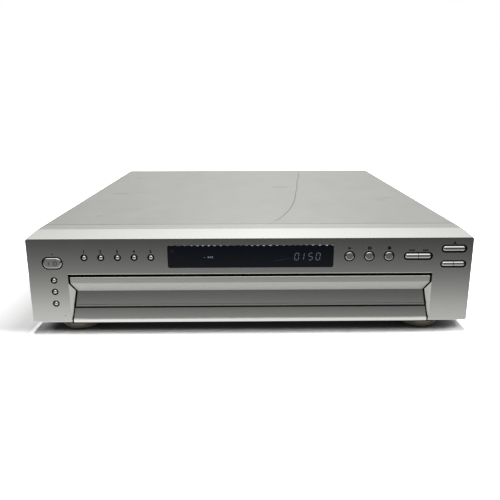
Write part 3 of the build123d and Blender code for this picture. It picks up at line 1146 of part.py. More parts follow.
# Pickup unit, drawn on its own lowered planes
sled_gear_at = (SLED_RACK_X + SLED_TEETH * SLED_MODULE / 2, SLED_GEAR_AT)
rack_heights = (SLED_RACK_LOW, SLED_RACK_LOW + SLED_RACK_T)
with BuildPart() as pickup_holder:
    block((-HOLDER_HALF, HOLDER_HALF), (-HOLDER_FRONT, HOLDER_BACK), (HOLDER_LOW, HOLDER_TOP), plane=lowered)
    inner = HOLDER_HALF - HOLDER_WALL
    block((-inner, inner), (-HOLDER_FRONT + HOLDER_WALL, HOLDER_BACK - HOLDER_WALL),
          (HOLDER_LOW + HOLDER_FLOOR_T, HOLDER_TOP), Mode.SUBTRACT, lowered)
    block((-SLED_GAP_HALF, SLED_GAP_HALF), (SLED_GAP_FROM, SLED_GAP_TO), (HOLDER_LOW, HOLDER_TOP),
          Mode.SUBTRACT, lowered)
    for x in (-1, 1):
        cradle = (x * ROD_X - 3, x * ROD_X + 3)
        block(cradle, (SLED_GAP_FROM - 3, SLED_GAP_FROM), (HOLDER_LOW + HOLDER_FLOOR_T, HOLDER_TOP),
              plane=lowered)
        rod_span = (SLED_GAP_FROM - 3, HOLDER_BACK - 1)
        barrel((x * ROD_X, ROD_H), ROD_R, rod_span, Mode.SUBTRACT, lowered_front)
        arm = sorted((x * HOLDER_HALF, x * (HOLDER_HALF - HOLDER_WALL)))
        block(arm, (HINGE_BEHIND - HINGE_ARM_FRONT, HINGE_BEHIND + HINGE_ARM_BACK),
              (HINGE_H - HINGE_ARM_BACK, HOLDER_LOW + HOLDER_FLOOR_T),
              plane=lowered)
    post((0, 0), SPINDLE_SLEEVE_R, (HOLDER_LOW, HOLDER_TOP), Mode.SUBTRACT, lowered)
    post(sled_gear_at, MOTOR_SHAFT_R + 1, (HOLDER_LOW, HOLDER_TOP), Mode.SUBTRACT, lowered)
    barrel((0, LIFT_PIN_H), LIFT_PIN_R, (-LIFT_SLIDE_FRONT - 0.6, -HOLDER_FRONT + 1), plane=lowered_front)
    for x in (-1, 1):
        pin = [x * (HOLDER_HALF - 1), x * (HOLDER_HALF + HINGE_PIN_L)]
        with BuildSketch(side(pin[0])) as hinge_pin:
            with Locations((HINGE_D, HINGE_H)):
                Circle(HINGE_PIN_R)
        extrude(hinge_pin.sketch, amount=pin[1] - pin[0])
pickup_holder.part.label = "pickup_holder"
export_step(pickup_holder.part, "parts/pickup_holder.step")

with BuildPart() as guide_rods:
    for x in (-ROD_X, ROD_X):
        barrel((x, ROD_H), ROD_R, (SLED_GAP_FROM - 3, HOLDER_BACK - 1), plane=lowered_front)
guide_rods.part.label = "guide_rods"
export_step(guide_rods.part, "parts/guide_rods.step")

with BuildPart() as pickup_motors:
    post((0, 0), SPINDLE_MOTOR_R, (SPINDLE_MOTOR_LOW, HOLDER_LOW), plane=lowered)
    post((0, 0), SPINDLE_SLEEVE_R - RUN, (HOLDER_LOW, SPINDLE_SLEEVE_TOP), plane=lowered)
    post(sled_gear_at, SLED_MOTOR_R, (SPINDLE_MOTOR_LOW, HOLDER_LOW), plane=lowered)
    post(sled_gear_at, MOTOR_SHAFT_R, (HOLDER_LOW, SLED_RACK_LOW + SLED_RACK_T + 1), plane=lowered)
pickup_motors.part.label = "pickup_motors"
export_step(pickup_motors.part, "parts/pickup_motors.step")

with BuildPart() as sled_gear:
    gear_teeth(sled_gear_at, SLED_TEETH, SLED_MODULE, rack_heights, 180, lowered)
    post(sled_gear_at, MOTOR_SHAFT_R + RUN, rack_heights, Mode.SUBTRACT, lowered)
sled_gear.part.label = "sled_gear"
export_step(sled_gear.part, "parts/sled_gear.step")

with BuildPart() as optical_pickup:
    sled_front = SLED_START - SLED_L / 2
    sled_back = SLED_START + SLED_L / 2
    block((-SLED_HALF, SLED_HALF), (sled_front, sled_back), (SLED_LOW, SLED_TOP), plane=lowered)
    block((-TURRET_HALF, TURRET_HALF), (SLED_START - 5, SLED_START + 5), (SLED_TOP, TURRET_TOP - 1.2),
          plane=lowered)
    post((0, SLED_START), LENS_R + 1.5, (TURRET_TOP - 1.2, TURRET_TOP - 0.6), plane=lowered)
    post((0, SLED_START), LENS_R, (TURRET_TOP - 0.6, TURRET_TOP), plane=lowered)
    rack_from = SLED_GEAR_AT - SLED_TRAVEL - 3.5
    rack_teeth(SLED_RACK_X, 1, SLED_GEAR_AT, (rack_from, SLED_GEAR_AT + 3.5), SLED_MODULE, rack_heights,
               4.0, lowered)
    for x in (-ROD_X, ROD_X):
        barrel((x, ROD_H), ROD_R + RUN, (rack_from - 1, sled_back + 1), Mode.SUBTRACT, lowered_front)
optical_pickup.part.label = "optical_pickup"
export_step(optical_pickup.part, "parts/optical_pickup.step")

with BuildPart() as disc_table:
    post((0, 0), TABLE_NECK_R, (SPINDLE_SLEEVE_TOP + FIT, CAROUSEL_TOP - TABLE_T), plane=lowered)
    post((0, 0), TABLE_R, (CAROUSEL_TOP - TABLE_T, CAROUSEL_TOP), plane=lowered)
    with BuildSketch(lowered(CAROUSEL_TOP)) as cone:
        Circle(CONE_R)
    extrude(cone.sketch, amount=CONE_H, taper=20)
disc_table.part.label = "disc_table"
export_step(disc_table.part, "parts/disc_table.step")

# Lift slide in front of the pickup unit, with the slanted slot that raises its pin
with BuildPart() as lift_slide:
    pin_back = -(HINGE_BEHIND + LIFT_SLIDE_FRONT - LIFT_SLIDE_T / 2)
    pin_rise = LIFT_PIN_H - HINGE_H
    turn = radians(LOWERED_DEG)
    pin_low = HINGE_H + pin_back * sin(turn) + pin_rise * cos(turn)
    slide_low = DECK_TOP + FIT
    block((-LIFT_TRAVEL - LIFT_MARGIN, LIFT_MARGIN), (slide_front_d, slide_back_d),
          (slide_low, LIFT_SLIDE_TOP))
    slot_run = sqrt(LIFT_TRAVEL**2 + (LIFT_PIN_H - pin_low)**2)
    slope = degrees(asin((LIFT_PIN_H - pin_low) / slot_run))
    with BuildSketch(front(slide_front_d)) as slanted_slot:
        with Locations((-LIFT_TRAVEL / 2, (pin_low + LIFT_PIN_H) / 2)):
            SlotCenterToCenter(slot_run, LIFT_SLOT_W, rotation=-slope)
    extrude(slanted_slot.sketch, amount=-LIFT_SLIDE_T, mode=Mode.SUBTRACT)
lift_slide.part.label = "lift_slide"
export_step(lift_slide.part, "parts/lift_slide.step")

# Chuck bridge across the deck walls, and the magnetic puck that hangs in it
bridge_top = DECK_WALL_TOP + BRIDGE_T
with BuildPart() as chuck_bridge:
    block((-wall_out, wall_out), (SPINDLE_D - BRIDGE_FRONT, SPINDLE_D + BRIDGE_BACK),
          (DECK_WALL_TOP, bridge_top))
    for start in (SPINDLE_D - BRIDGE_FRONT, SPINDLE_D + BRIDGE_BACK - SHEET):
        block((-wall_out + 8, wall_out - 8), (start, start + SHEET), (bridge_top, bridge_top + BRIDGE_EDGE_H))
    post((0, SPINDLE_D), CHUCK_NECK_R + 2 * FIT, (DECK_WALL_TOP, bridge_top), Mode.SUBTRACT)
chuck_bridge.part.label = "chuck_bridge"
export_step(chuck_bridge.part, "parts/chuck_bridge.step")

with BuildPart() as chuck_puck:
    post((0, SPINDLE_D), CHUCK_R, (CHUCK_LOW, CHUCK_LOW + CHUCK_T))
    post((0, SPINDLE_D), CHUCK_NECK_R, (CHUCK_LOW + CHUCK_T, bridge_top + FIT))
    post((0, SPINDLE_D), CHUCK_R - 1, (bridge_top + FIT, bridge_top + FIT + CHUCK_TOP_T))
chuck_puck.part.label = "chuck_puck"
export_step(chuck_puck.part, "parts/chuck_puck.step")

# Main board over the rear of the deck, with its larger chips
with BuildPart() as main_board:
    board_top = MAIN_BOARD_LOW + BOARD_T
    block((-MAIN_BOARD_HALF, MAIN_BOARD_HALF), (MAIN_BOARD_FRONT_D, REAR_PANEL_D - SHEET),
          (MAIN_BOARD_LOW, board_top))
    for x, behind, width in CHIPS:
        depth = MAIN_BOARD_FRONT_D + behind
        block((x - width / 2, x + width / 2), (depth - width / 2, depth + width / 2),
              (board_top, board_top + CHIP_T))
main_board.part.label = "main_board"
export_step(main_board.part, "parts/main_board.step")

# Output jacks, each a separate socket with its barrel through the rear panel, and two other sockets
with BuildPart() as rear_jacks:
    for x, z in jack_places:
        low = z - JACK_BODY_H / 2
        block((x - JACK_BODY_W / 2, x + JACK_BODY_W / 2), (REAR_PANEL_D - JACK_BODY_D, REAR_PANEL_D),
              (low, low + JACK_BODY_H))
        barrel((x, z), JACK_R, (REAR_PANEL_D, CABINET_D + JACK_PROUD))
        barrel((x, z), JACK_BORE_R, (REAR_PANEL_D, CABINET_D + JACK_PROUD), Mode.SUBTRACT)
    socket_end = HEM_D + SOCKET_PROUD
    for x in (ROUND_SOCKET_X, LIGHT_SOCKET_X):
        block((x - JACK_BODY_W / 2, x + JACK_BODY_W / 2), (REAR_PANEL_D - JACK_BODY_D, REAR_PANEL_D),
              (socket_z - JACK_BODY_H / 2, socket_z + JACK_BODY_H / 2))
    barrel((ROUND_SOCKET_X, socket_z), ROUND_SOCKET_R, (REAR_PANEL_D, socket_end))
    barrel((ROUND_SOCKET_X, socket_z), ROUND_SOCKET_BORE_R, (socket_end - SOCKET_DEPTH, socket_end),
           Mode.SUBTRACT)
    for width, depths, mode in ((LIGHT_SOCKET_W, (REAR_PANEL_D, socket_end), Mode.ADD),
                                (LIGHT_SOCKET_BORE_W, (socket_end - SOCKET_DEPTH, socket_end), Mode.SUBTRACT)):
        block((LIGHT_SOCKET_X - width / 2, LIGHT_SOCKET_X + width / 2), depths,
              (socket_z - width / 2, socket_z + width / 2), mode)
rear_jacks.part.label = "rear_jacks"
export_step(rear_jacks.part, "parts/rear_jacks.step")

# Mains inlet, a two-pin socket in the rear panel
with BuildPart() as mains_inlet:
    inlet = (INLET_X, INLET_Z)
    with BuildSketch(front(HEM_D - INLET_DEPTH)) as inlet_body:
        with Locations(inlet):
            SlotOverall(INLET_W, INLET_H)
    extrude(inlet_body.sketch, amount=-INLET_DEPTH)
    with BuildSketch(front(HEM_D)) as inlet_flange:
        with Locations(inlet):
            SlotOverall(INLET_W + 2 * INLET_FLANGE, INLET_H + 2 * INLET_FLANGE)
    extrude(inlet_flange.sketch, amount=-INLET_FLANGE_T)
    inlet_end = HEM_D + INLET_FLANGE_T
    with BuildSketch(front(inlet_end - INLET_SOCKET_DEPTH)) as inlet_socket:
        with Locations(inlet):
            SlotOverall(INLET_SOCKET_W, INLET_SOCKET_H)
    extrude(inlet_socket.sketch, amount=-INLET_SOCKET_DEPTH, mode=Mode.SUBTRACT)
    for x in (-INLET_PIN_X, INLET_PIN_X):
        barrel((INLET_X + x, INLET_Z), INLET_PIN_R, (inlet_end - INLET_SOCKET_DEPTH - 1, inlet_end - 1.5))
mains_inlet.part.label = "mains_inlet"
export_step(mains_inlet.part, "parts/mains_inlet.step")

# Power supply beside the deck
power_top = POWER_BOARD_LIFT + BOARD_T
power_mid = -(POWER_BOARD_OUT + POWER_BOARD_IN) / 2
with BuildPart() as power_board:
    block((-POWER_BOARD_OUT, -POWER_BOARD_IN), (POWER_BOARD_FRONT_D, POWER_BOARD_BACK_D),
          (POWER_BOARD_LIFT, power_top))
power_board.part.label = "power_board"
export_step(power_board.part, "parts/power_board.step")

with BuildPart() as transformer:
    core_mid = POWER_BOARD_FRONT_D + CORE_AT * POWER_BOARD_L
    half_w = CORE_W / 2
    half_l = CORE_L / 2
    block((power_mid - half_w, power_mid + half_w), (core_mid - half_l, core_mid + half_l),
          (power_top, power_top + CORE_H))
    with BuildSketch(level(power_top + CORE_H / 6)) as winding:
        with Locations((power_mid, core_mid)):
            RectangleRounded(CORE_W * 0.7, CORE_L + 2 * WINDING_PROUD, 2)
    extrude(winding.sketch, amount=CORE_H * 2 / 3)
transformer.part.label = "transformer"
export_step(transformer.part, "parts/transformer.step")

with BuildPart() as power_components:
    for share, radius, height in CAPACITORS:
        post((power_mid, POWER_BOARD_FRONT_D + share * POWER_BOARD_L), radius, (power_top, power_top + height))
    sink_d = POWER_BOARD_FRONT_D + SINK_AT * POWER_BOARD_L
    sink_heights = (power_top, power_top + SINK_H)
    block((power_mid - SINK_W / 2, power_mid + SINK_W / 2), (sink_d, sink_d + 2), sink_heights)
    with BuildSketch(level(power_top)) as fins:
        with Locations((power_mid, sink_d + 2 + FIN_L / 2)):
            with GridLocations((SINK_W - FIN_T) / 4, 1, 5, 1):
                Rectangle(FIN_T, FIN_L)
    extrude(fins.sketch, amount=SINK_H)
power_components.part.label = "power_components"
export_step(power_components.part, "parts/power_components.step")
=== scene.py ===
# %% [markdown]
# # A five-disc player, dressed for its portrait
#
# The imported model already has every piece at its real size, so this lesson only gives the pieces
# their finish and adds what is too fine for the model: print, screws, sockets and a lit display.
# The first cell loads that model and measures it.

# %% Load the frame
from math import cos, pi, radians, sin

import bmesh
import bpy
from mathutils import Matrix, Vector


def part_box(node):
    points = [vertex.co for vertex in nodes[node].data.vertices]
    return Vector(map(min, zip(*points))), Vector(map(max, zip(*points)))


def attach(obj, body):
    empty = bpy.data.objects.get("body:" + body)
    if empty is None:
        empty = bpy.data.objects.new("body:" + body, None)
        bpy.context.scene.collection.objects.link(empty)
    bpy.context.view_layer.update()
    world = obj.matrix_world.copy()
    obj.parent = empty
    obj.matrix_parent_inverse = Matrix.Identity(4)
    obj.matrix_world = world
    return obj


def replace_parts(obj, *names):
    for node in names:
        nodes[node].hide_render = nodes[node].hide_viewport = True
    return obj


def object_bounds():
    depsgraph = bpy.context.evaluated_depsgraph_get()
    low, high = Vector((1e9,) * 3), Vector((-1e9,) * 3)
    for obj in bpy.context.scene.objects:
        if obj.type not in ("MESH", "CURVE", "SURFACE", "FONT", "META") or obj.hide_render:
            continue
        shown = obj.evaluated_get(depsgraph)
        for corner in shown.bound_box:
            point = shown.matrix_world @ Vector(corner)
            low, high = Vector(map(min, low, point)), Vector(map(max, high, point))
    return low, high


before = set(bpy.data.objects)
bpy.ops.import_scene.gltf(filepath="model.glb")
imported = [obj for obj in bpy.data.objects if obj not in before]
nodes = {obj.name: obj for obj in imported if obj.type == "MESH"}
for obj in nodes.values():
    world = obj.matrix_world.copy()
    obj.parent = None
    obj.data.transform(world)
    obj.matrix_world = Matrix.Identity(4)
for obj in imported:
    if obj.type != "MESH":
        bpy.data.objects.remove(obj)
cad_low, cad_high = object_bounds()
MM = 0.001
FACE_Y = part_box("front_panel")[0].y
BASE_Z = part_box("front_panel")[0].z
print("nodes", len(nodes), "box in mm", [round(v / MM, 1) for v in (*cad_low, *cad_high)])

# %% [markdown]
# ## Small helpers
#
# Colours are picked as screen colours, but a shader counts light, so one function turns hex digits
# into linear values. Another adds any shader or geometry node with its settings and its links,
# which keeps the recipes below short enough to read. A Mix node takes two colours in its sockets 6
# and 7 and gives the mix from its output 2, and it takes two numbers in its sockets 2 and 3.

# %% Helpers
SMOOTH = {"interpolation_type": "SMOOTHSTEP"}
TIMES = {"operation": "MULTIPLY"}
TIMES_PLUS = {"operation": "MULTIPLY_ADD"}
COLOURS = {"data_type": "RGBA"}


def linear(hex_colour, alpha=1.0):
    """Linear RGBA of an sRGB colour such as "#c8c8c4"."""
    channels = [int(hex_colour[i:i + 2], 16) / 255 for i in (1, 3, 5)]
    bent = [c / 12.92 if c <= 0.04045 else ((c + 0.055) / 1.055) ** 2.4 for c in channels]
    return (*bent, alpha)


def add(tree, kind, settings=None, links=None, stops=()):
    """A new node. Settings are socket values or properties. Links lead from a socket, or from a
    node's first output, into its sockets. Stops are the (place, grey level) pairs of a ramp."""
    node = tree.nodes.new(kind)
    for key, value in (settings or {}).items():
        if isinstance(key, int) or key in node.inputs:
            node.inputs[key].default_value = value
        else:
            setattr(node, key, value)
    for key, source in (links or {}).items():
        socket = source.outputs[0] if isinstance(source, bpy.types.Node) else source
        tree.links.new(socket, node.inputs[key])
    while stops and len(node.color_ramp.elements) < len(stops):
        node.color_ramp.elements.new(1.0)
    for i, (place, grey) in enumerate(stops):
        node.color_ramp.elements[i].position = place
        node.color_ramp.elements[i].color = (grey, grey, grey, 1.0)
    return node


def on_face(x, height, depth=0.0):
    """A point given in millimetres on the face, as a place in the room."""
    return Vector((x * MM, FACE_Y + depth * MM, BASE_Z + height * MM))


def link_object(name, data):
    """A new object in the scene, at the origin."""
    piece = bpy.data.objects.new(name, data)
    bpy.context.scene.collection.objects.link(piece)
    return piece


# %% [markdown]
# ## Camera
#
# The photographer stood close and a little above. The lens, the place and the tilt come from solving
# the photograph's perspective for the cabinet's known width: the straight edges of the cover and the
# face meet where only one camera could see them so.

# %% Camera
CAMERA_PLACE = Vector((-3.963, -621.743, 225.201)) * MM
CAMERA_YAW = 0.0101
CAMERA_DIP = 0.2117
CAMERA_ROLL = -0.0015
FOCAL_PX = 455.938
CENTRE_PX = (250.886, 197.2065)
FRAME_PX = 500
SENSOR_MM = 36.0

forward = Vector((sin(CAMERA_YAW) * cos(CAMERA_DIP), cos(CAMERA_YAW) * cos(CAMERA_DIP), -sin(CAMERA_DIP)))
level_right = Vector((cos(CAMERA_YAW), -sin(CAMERA_YAW), 0.0))
level_up = level_right.cross(forward)
right = level_right * cos(CAMERA_ROLL) + level_up * sin(CAMERA_ROLL)
up = right.cross(forward)
camera = link_object("camera", bpy.data.cameras.new("camera"))
camera.data.sensor_width = SENSOR_MM
camera.data.lens = FOCAL_PX / FRAME_PX * SENSOR_MM
camera.data.shift_x = (FRAME_PX / 2 - CENTRE_PX[0]) / FRAME_PX
camera.data.shift_y = (CENTRE_PX[1] - FRAME_PX / 2) / FRAME_PX
turn = Matrix((right, up, -forward)).transposed().to_4x4()
camera.matrix_world = Matrix.Translation(CAMERA_PLACE) @ turn
bpy.context.scene.camera = camera
bpy.context.scene.view_settings.view_transform = "Standard"
print("lens", round(camera.data.lens, 2), "shift", round(camera.data.shift_x, 4), round(camera.data.shift_y, 4))

# %% [markdown]
# ## The room
#
# Silver paint has hardly any colour of its own: it shows the room. The real set stood on a pale
# table in a room that was dim at eye height and bright above and behind, and that is why its face
# runs from dark at the top to light at the bottom. A sky that depends on direction gives this, and
# is plain white where the camera itself sees it.

# %% World
SKY_FILL = 0.10
SKY_BRIGHTEST = 1.75
SIDE_DIMMING = -0.6
BRIGHT_AT = 0.05
TURN_TO_BACK = {"From Min": -0.25, "From Max": 0.3}
# Grey levels by height, in the front half and in the back half of the room
FRONT_SKY = ((0.0, 0.055), (0.12, 0.11), (0.42, 0.28), (0.66, 0.95))
BACK_SKY = ((0.0, 0.335), (0.31, 0.35), (0.41, 0.74), (0.50, 1.0), (0.75, 0.8))
world = bpy.data.worlds.new("studio")
bpy.context.scene.world = world
world.use_nodes = True
sky = world.node_tree
sky.nodes.clear()
direction = add(sky, "ShaderNodeTexCoord").outputs["Generated"]
axes = add(sky, "ShaderNodeSeparateXYZ", links={0: direction})
front_sky = add(sky, "ShaderNodeValToRGB", links={"Fac": axes.outputs["Z"]}, stops=FRONT_SKY)
back_sky = add(sky, "ShaderNodeValToRGB", links={"Fac": axes.outputs["Z"]}, stops=BACK_SKY)
towards_back = add(sky, "ShaderNodeMapRange", TURN_TO_BACK, {"Value": axes.outputs["Y"]})
all_round = add(sky, "ShaderNodeMix", COLOURS, {"Factor": towards_back, 6: front_sky, 7: back_sky})
off_centre = add(sky, "ShaderNodeMath", {"operation": "SUBTRACT", 1: BRIGHT_AT}, {0: axes.outputs["X"]})
sideways = add(sky, "ShaderNodeMath", {"operation": "ABSOLUTE"}, {0: off_centre})
dimming = add(sky, "ShaderNodeMath", {**TIMES_PLUS, 1: SIDE_DIMMING, 2: 1.0}, {0: sideways})
level = add(sky, "ShaderNodeMath", {**TIMES, 1: SKY_BRIGHTEST}, {0: dimming})
seen_in_gloss = add(sky, "ShaderNodeVectorMath", {"operation": "SCALE"},
                    {0: all_round.outputs[2], "Scale": level})
path = add(sky, "ShaderNodeLightPath")
gloss_or_not = add(sky, "ShaderNodeMix", {**COLOURS, 6: (SKY_FILL, SKY_FILL, SKY_FILL, 1)},
                   {"Factor": path.outputs["Is Glossy Ray"], 7: seen_in_gloss})
camera_or_not = add(sky, "ShaderNodeMix", {**COLOURS, 7: (1, 1, 1, 1)},
                    {"Factor": path.outputs["Is Camera Ray"], 6: gloss_or_not.outputs[2]})
background = add(sky, "ShaderNodeBackground", {"Strength": 1.0}, {"Color": camera_or_not.outputs[2]})
add(sky, "ShaderNodeOutputWorld", links={"Surface": background})
print("world nodes", len(sky.nodes))

# %% [markdown]
# The floor is a plain pale table. The camera sees it overexposed, as the photographer did, so that
# only the shadow stays. Part of that shadow is painted into what the camera sees: a painted shade where
# a place is closed in under the object, and a soft painted shadow beside the left end. A reflection sees
# it bright beside the object and falling off into the dim room in front. Under the left front corner,
# painted light lightens that painted shade.

# %% Floor
FLOOR_HALF = 6.0
FLOOR_SINK = 0.05 * MM
FLOOR_GAIN = 2.2
RIGHT_DIMMING = -0.4
PAINTED_SIDE_SHADOW_REACH = 75 * MM
PAINTED_CORNER_LIGHT = 5.0
HALF_WIDTH = cad_high.x
HALF_DEPTH = cad_high.y
# Grey levels of the mirrored table by how far outside the object, of the painted shade by how open a
# place is to the sky, and of the painted shadow beside the left end by how far left
FALLOFF = ((0.0, 0.03), (0.04, 1.0), (0.07, 0.78), (0.14, 0.69), (0.22, 0.47), (0.34, 0.255), (0.62, 0.06),
           (1.0, 0.03))
SHADE = ((0.0, 0.07), (0.14, 0.10), (0.32, 0.17), (0.44, 0.5), (0.55, 1.0))
PAINTED_SIDE_SHADOW = ((0.0, 0.30), (0.25, 0.33), (0.48, 0.42), (0.80, 0.53), (1.0, 1.0))
# An axis, and where along it the painted side shadow (the first three) or the painted corner light (the last two) is
# none and full
FADES = (("Y", FACE_Y - 30 * MM, FACE_Y + 10 * MM), ("Y", 0.75 * HALF_DEPTH, 0.1 * HALF_DEPTH),
         ("X", -HALF_WIDTH + 1 * MM, -HALF_WIDTH - 6 * MM),
         ("X", -HALF_WIDTH + 20 * MM, -HALF_WIDTH + 6 * MM), ("Y", FACE_Y + 40 * MM, FACE_Y + 20 * MM))
floor_mesh = bpy.data.meshes.new("floor")
corners = [(x * FLOOR_HALF, y * FLOOR_HALF, -FLOOR_SINK) for x, y in ((-1, -1), (1, -1), (1, 1), (-1, 1))]
floor_mesh.from_pydata(corners, [], [(0, 1, 2, 3)])
floor = link_object("floor", floor_mesh)
paper = bpy.data.materials.new("pale_table")
paper.use_nodes = True
tree = paper.node_tree
tree.nodes.clear()
place = add(tree, "ShaderNodeSeparateXYZ", links={0: add(tree, "ShaderNodeTexCoord").outputs["Object"]})
beyond = []
for axis, half in (("X", HALF_WIDTH), ("Y", HALF_DEPTH)):
    size = add(tree, "ShaderNodeMath", {"operation": "ABSOLUTE"}, {0: place.outputs[axis]})
    beyond.append(add(tree, "ShaderNodeMath", {"operation": "SUBTRACT", 1: half}, {0: size}))
outside = add(tree, "ShaderNodeMath", {"operation": "MAXIMUM"}, {0: beyond[0], 1: beyond[1]})
reach = add(tree, "ShaderNodeMapRange", {"From Min": -0.02, "From Max": 0.48}, {"Value": outside})
falloff = add(tree, "ShaderNodeValToRGB", links={"Fac": reach}, stops=FALLOFF)
tilt = add(tree, "ShaderNodeMath", {**TIMES_PLUS, 1: RIGHT_DIMMING, 2: 1.0}, {0: place.outputs["X"]})
path = add(tree, "ShaderNodeLightPath")
# Painted shade: the camera sees the table darker where little of the sky reaches it
open_sky = add(tree, "ShaderNodeAmbientOcclusion", {"samples": 16, "Distance": 0.2})
shade = add(tree, "ShaderNodeValToRGB", links={"Fac": open_sky.outputs["AO"]}, stops=SHADE)
# Painted shadow beside the left end, laid into the table's colour
left_of = add(tree, "ShaderNodeMath", {**TIMES_PLUS, 1: -1 / PAINTED_SIDE_SHADOW_REACH, 2: -HALF_WIDTH / PAINTED_SIDE_SHADOW_REACH},
              {0: place.outputs["X"]})
painted_side_shadow = add(tree, "ShaderNodeValToRGB", links={"Fac": left_of}, stops=PAINTED_SIDE_SHADOW)
before, behind, past_the_end, across, along = (
    add(tree, "ShaderNodeMapRange", {**SMOOTH, "From Min": none, "From Max": full}, {"Value": place.outputs[axis]})
    for axis, none, full in FADES)
beside = add(tree, "ShaderNodeMath", TIMES, {0: before, 1: behind})
outside_left = add(tree, "ShaderNodeMath", TIMES, {0: beside, 1: past_the_end})
with_painted_side_shadow = add(tree, "ShaderNodeMix", {**COLOURS, 6: (1, 1, 1, 1)}, {"Factor": outside_left, 7: painted_side_shadow}).outputs[2]
# Painted light under the left front corner, which lightens the painted shade there
corner = add(tree, "ShaderNodeMath", TIMES, {0: across, 1: along})
painted_corner_light = add(tree, "ShaderNodeMath", {**TIMES_PLUS, 1: PAINTED_CORNER_LIGHT - 1, 2: 1.0}, {0: corner})
shade_with_painted_light = add(tree, "ShaderNodeMath", {**TIMES, "use_clamp": True}, {0: shade, 1: painted_corner_light})
both = add(tree, "ShaderNodeVectorMath", {"operation": "MULTIPLY"}, {0: shade_with_painted_light, 1: with_painted_side_shadow})
seen = add(tree, "ShaderNodeVectorMath", {"operation": "SCALE", "Scale": FLOOR_GAIN}, {0: both})
white = add(tree, "ShaderNodeMix", {**COLOURS, 6: (0.8, 0.8, 0.8, 1)},
            {"Factor": path.outputs["Is Camera Ray"], 7: seen})
matt = add(tree, "ShaderNodeBsdfDiffuse", links={"Color": white.outputs[2]})
glow = add(tree, "ShaderNodeEmission", links={"Color": falloff, "Strength": tilt})
mixed = add(tree, "ShaderNodeMixShader", links={0: path.outputs["Is Glossy Ray"], 1: matt, 2: glow})
add(tree, "ShaderNodeOutputMaterial", links={"Surface": mixed})
floor.data.materials.append(paper)
print("floor nodes", len(tree.nodes))

# %% [markdown]
# Two lamps set the shadow. One stands almost straight above, a little behind, and leaves a tight dark
# line under the front. A low one at the right slips under that end, so the shadow opens up there.

# %% Lamps
# Name, direction towards the lamp, its width in degrees and its strength
LAMPS = (("top_lamp", (0.02, 0.092, 1.0), 8.5, 2.4), ("right_lamp", (1.0, 0.15, 0.42), 34, 1.7))
for name, towards, spread, strength in LAMPS:
    lamp = link_object(name, bpy.data.lights.new(name, "SUN"))
    lamp.data.angle = radians(spread)
    lamp.data.energy = strength
    lamp.rotation_euler = Vector(towards).to_track_quat("Z", "Y").to_euler()
    lamp.visible_glossy = False
    print(name, "width", spread, "strength", strength)

# %% [markdown]
# ## Finishes
#
# Every finish here is a base with three things laid over it: a slow mottle that changes the colour a
# little, the same mottle in the roughness, and a fine grain that only bumps the surface. What changes
# from one to the next is how metallic and how rough it is, and the real size of its grain. Layers can
# be laid over that base, each with a mask that says where it shows: black painted as the shade of a
# gap, painted shade or light by where a face looks, a painted highlight, a chip, a scratch.

# %% One recipe for the finishes
GRAIN_DEPTH = 0.05 * MM


def finish(name, colour, metallic=0.0, roughness=0.5, grain_mm=0.8, grain=0.15, mottle_mm=45.0, mottle=0.06,
           rough_spread=0.04, stretch=(1, 1, 1), layers=(), **sockets):
    """A Principled material on Object coordinates; a layer is (mask, colour, metallic, roughness)."""
    made = bpy.data.materials.new(name)
    made.use_nodes = True
    tree = made.node_tree
    shader = tree.nodes["Principled BSDF"]
    shader.inputs["Metallic"].default_value = metallic
    for socket, value in sockets.items():
        shader.inputs[socket.replace("_", " ")].default_value = value
    coordinates = add(tree, "ShaderNodeTexCoord").outputs["Object"]
    spread = add(tree, "ShaderNodeMapping", {"Scale": stretch}, {"Vector": coordinates})
    slow = add(tree, "ShaderNodeTexNoise", {"Scale": 1000 / mottle_mm, "Detail": 5.0}, {"Vector": coordinates})
    fine = add(tree, "ShaderNodeTexNoise", {"Scale": 1000 / grain_mm, "Detail": 2.0}, {"Vector": spread})
    rough_ends = {"To Min": roughness - rough_spread, "To Max": roughness + rough_spread}
    rough = add(tree, "ShaderNodeMapRange", rough_ends, {"Value": slow}).outputs[0]
    base = linear(colour)
    darker = (*(c * (1 - mottle) for c in base[:3]), 1)
    lighter = (*(min(1, c * (1 + mottle)) for c in base[:3]), 1)
    tint = add(tree, "ShaderNodeMix", {**COLOURS, 6: darker, 7: lighter}, {"Factor": slow}).outputs[2]
    metal = None
    part_metal = any(layer_metallic != metallic for _, _, layer_metallic, _ in layers)
    for mask, layer_colour, layer_metallic, layer_roughness in layers:
        where = mask(tree)
        over = {**COLOURS, 7: linear(layer_colour)}
        tint = add(tree, "ShaderNodeMix", over, {"Factor": where, 6: tint}).outputs[2]
        rough = add(tree, "ShaderNodeMix", {3: layer_roughness}, {0: where, 2: rough}).outputs[0]
        if part_metal:
            below = {2: metal} if metal else {}
            metal = add(tree, "ShaderNodeMix", {2: metallic, 3: layer_metallic}, {0: where, **below}).outputs[0]
    if part_metal:
        tree.links.new(metal, shader.inputs["Metallic"])
    bump = add(tree, "ShaderNodeBump", {"Strength": grain, "Distance": GRAIN_DEPTH}, {"Height": fine})
    tree.links.new(tint, shader.inputs["Base Color"])
    tree.links.new(rough, shader.inputs["Roughness"])
    tree.links.new(bump.outputs[0], shader.inputs["Normal"])
    return made


def dress(material, *names):
    """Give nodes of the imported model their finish."""
    for name in names:
        nodes[name].data.materials.clear()
        nodes[name].data.materials.append(material)
    print(material.name, "on", *names)


# %% [markdown]
# ### Silver face
#
# The face, the door and the strip below it are black ABS mouldings, sprayed from the front with a
# silver metallic paint. The flakes lie flat in the lacquer, so the paint mirrors the room softly and
# has next to no colour. The walls of the gaps are left black, as unsprayed plastic and as painted
# shade, which draws the dark line round the drawer and the dark ring round each key. The surface's own
# normal tells where that is: a wall that doesn't look forwards is painted black, but for the panel's
# outer sides and its ledge. A mask rises smoothly from none at one value to full at another, which may be smaller.

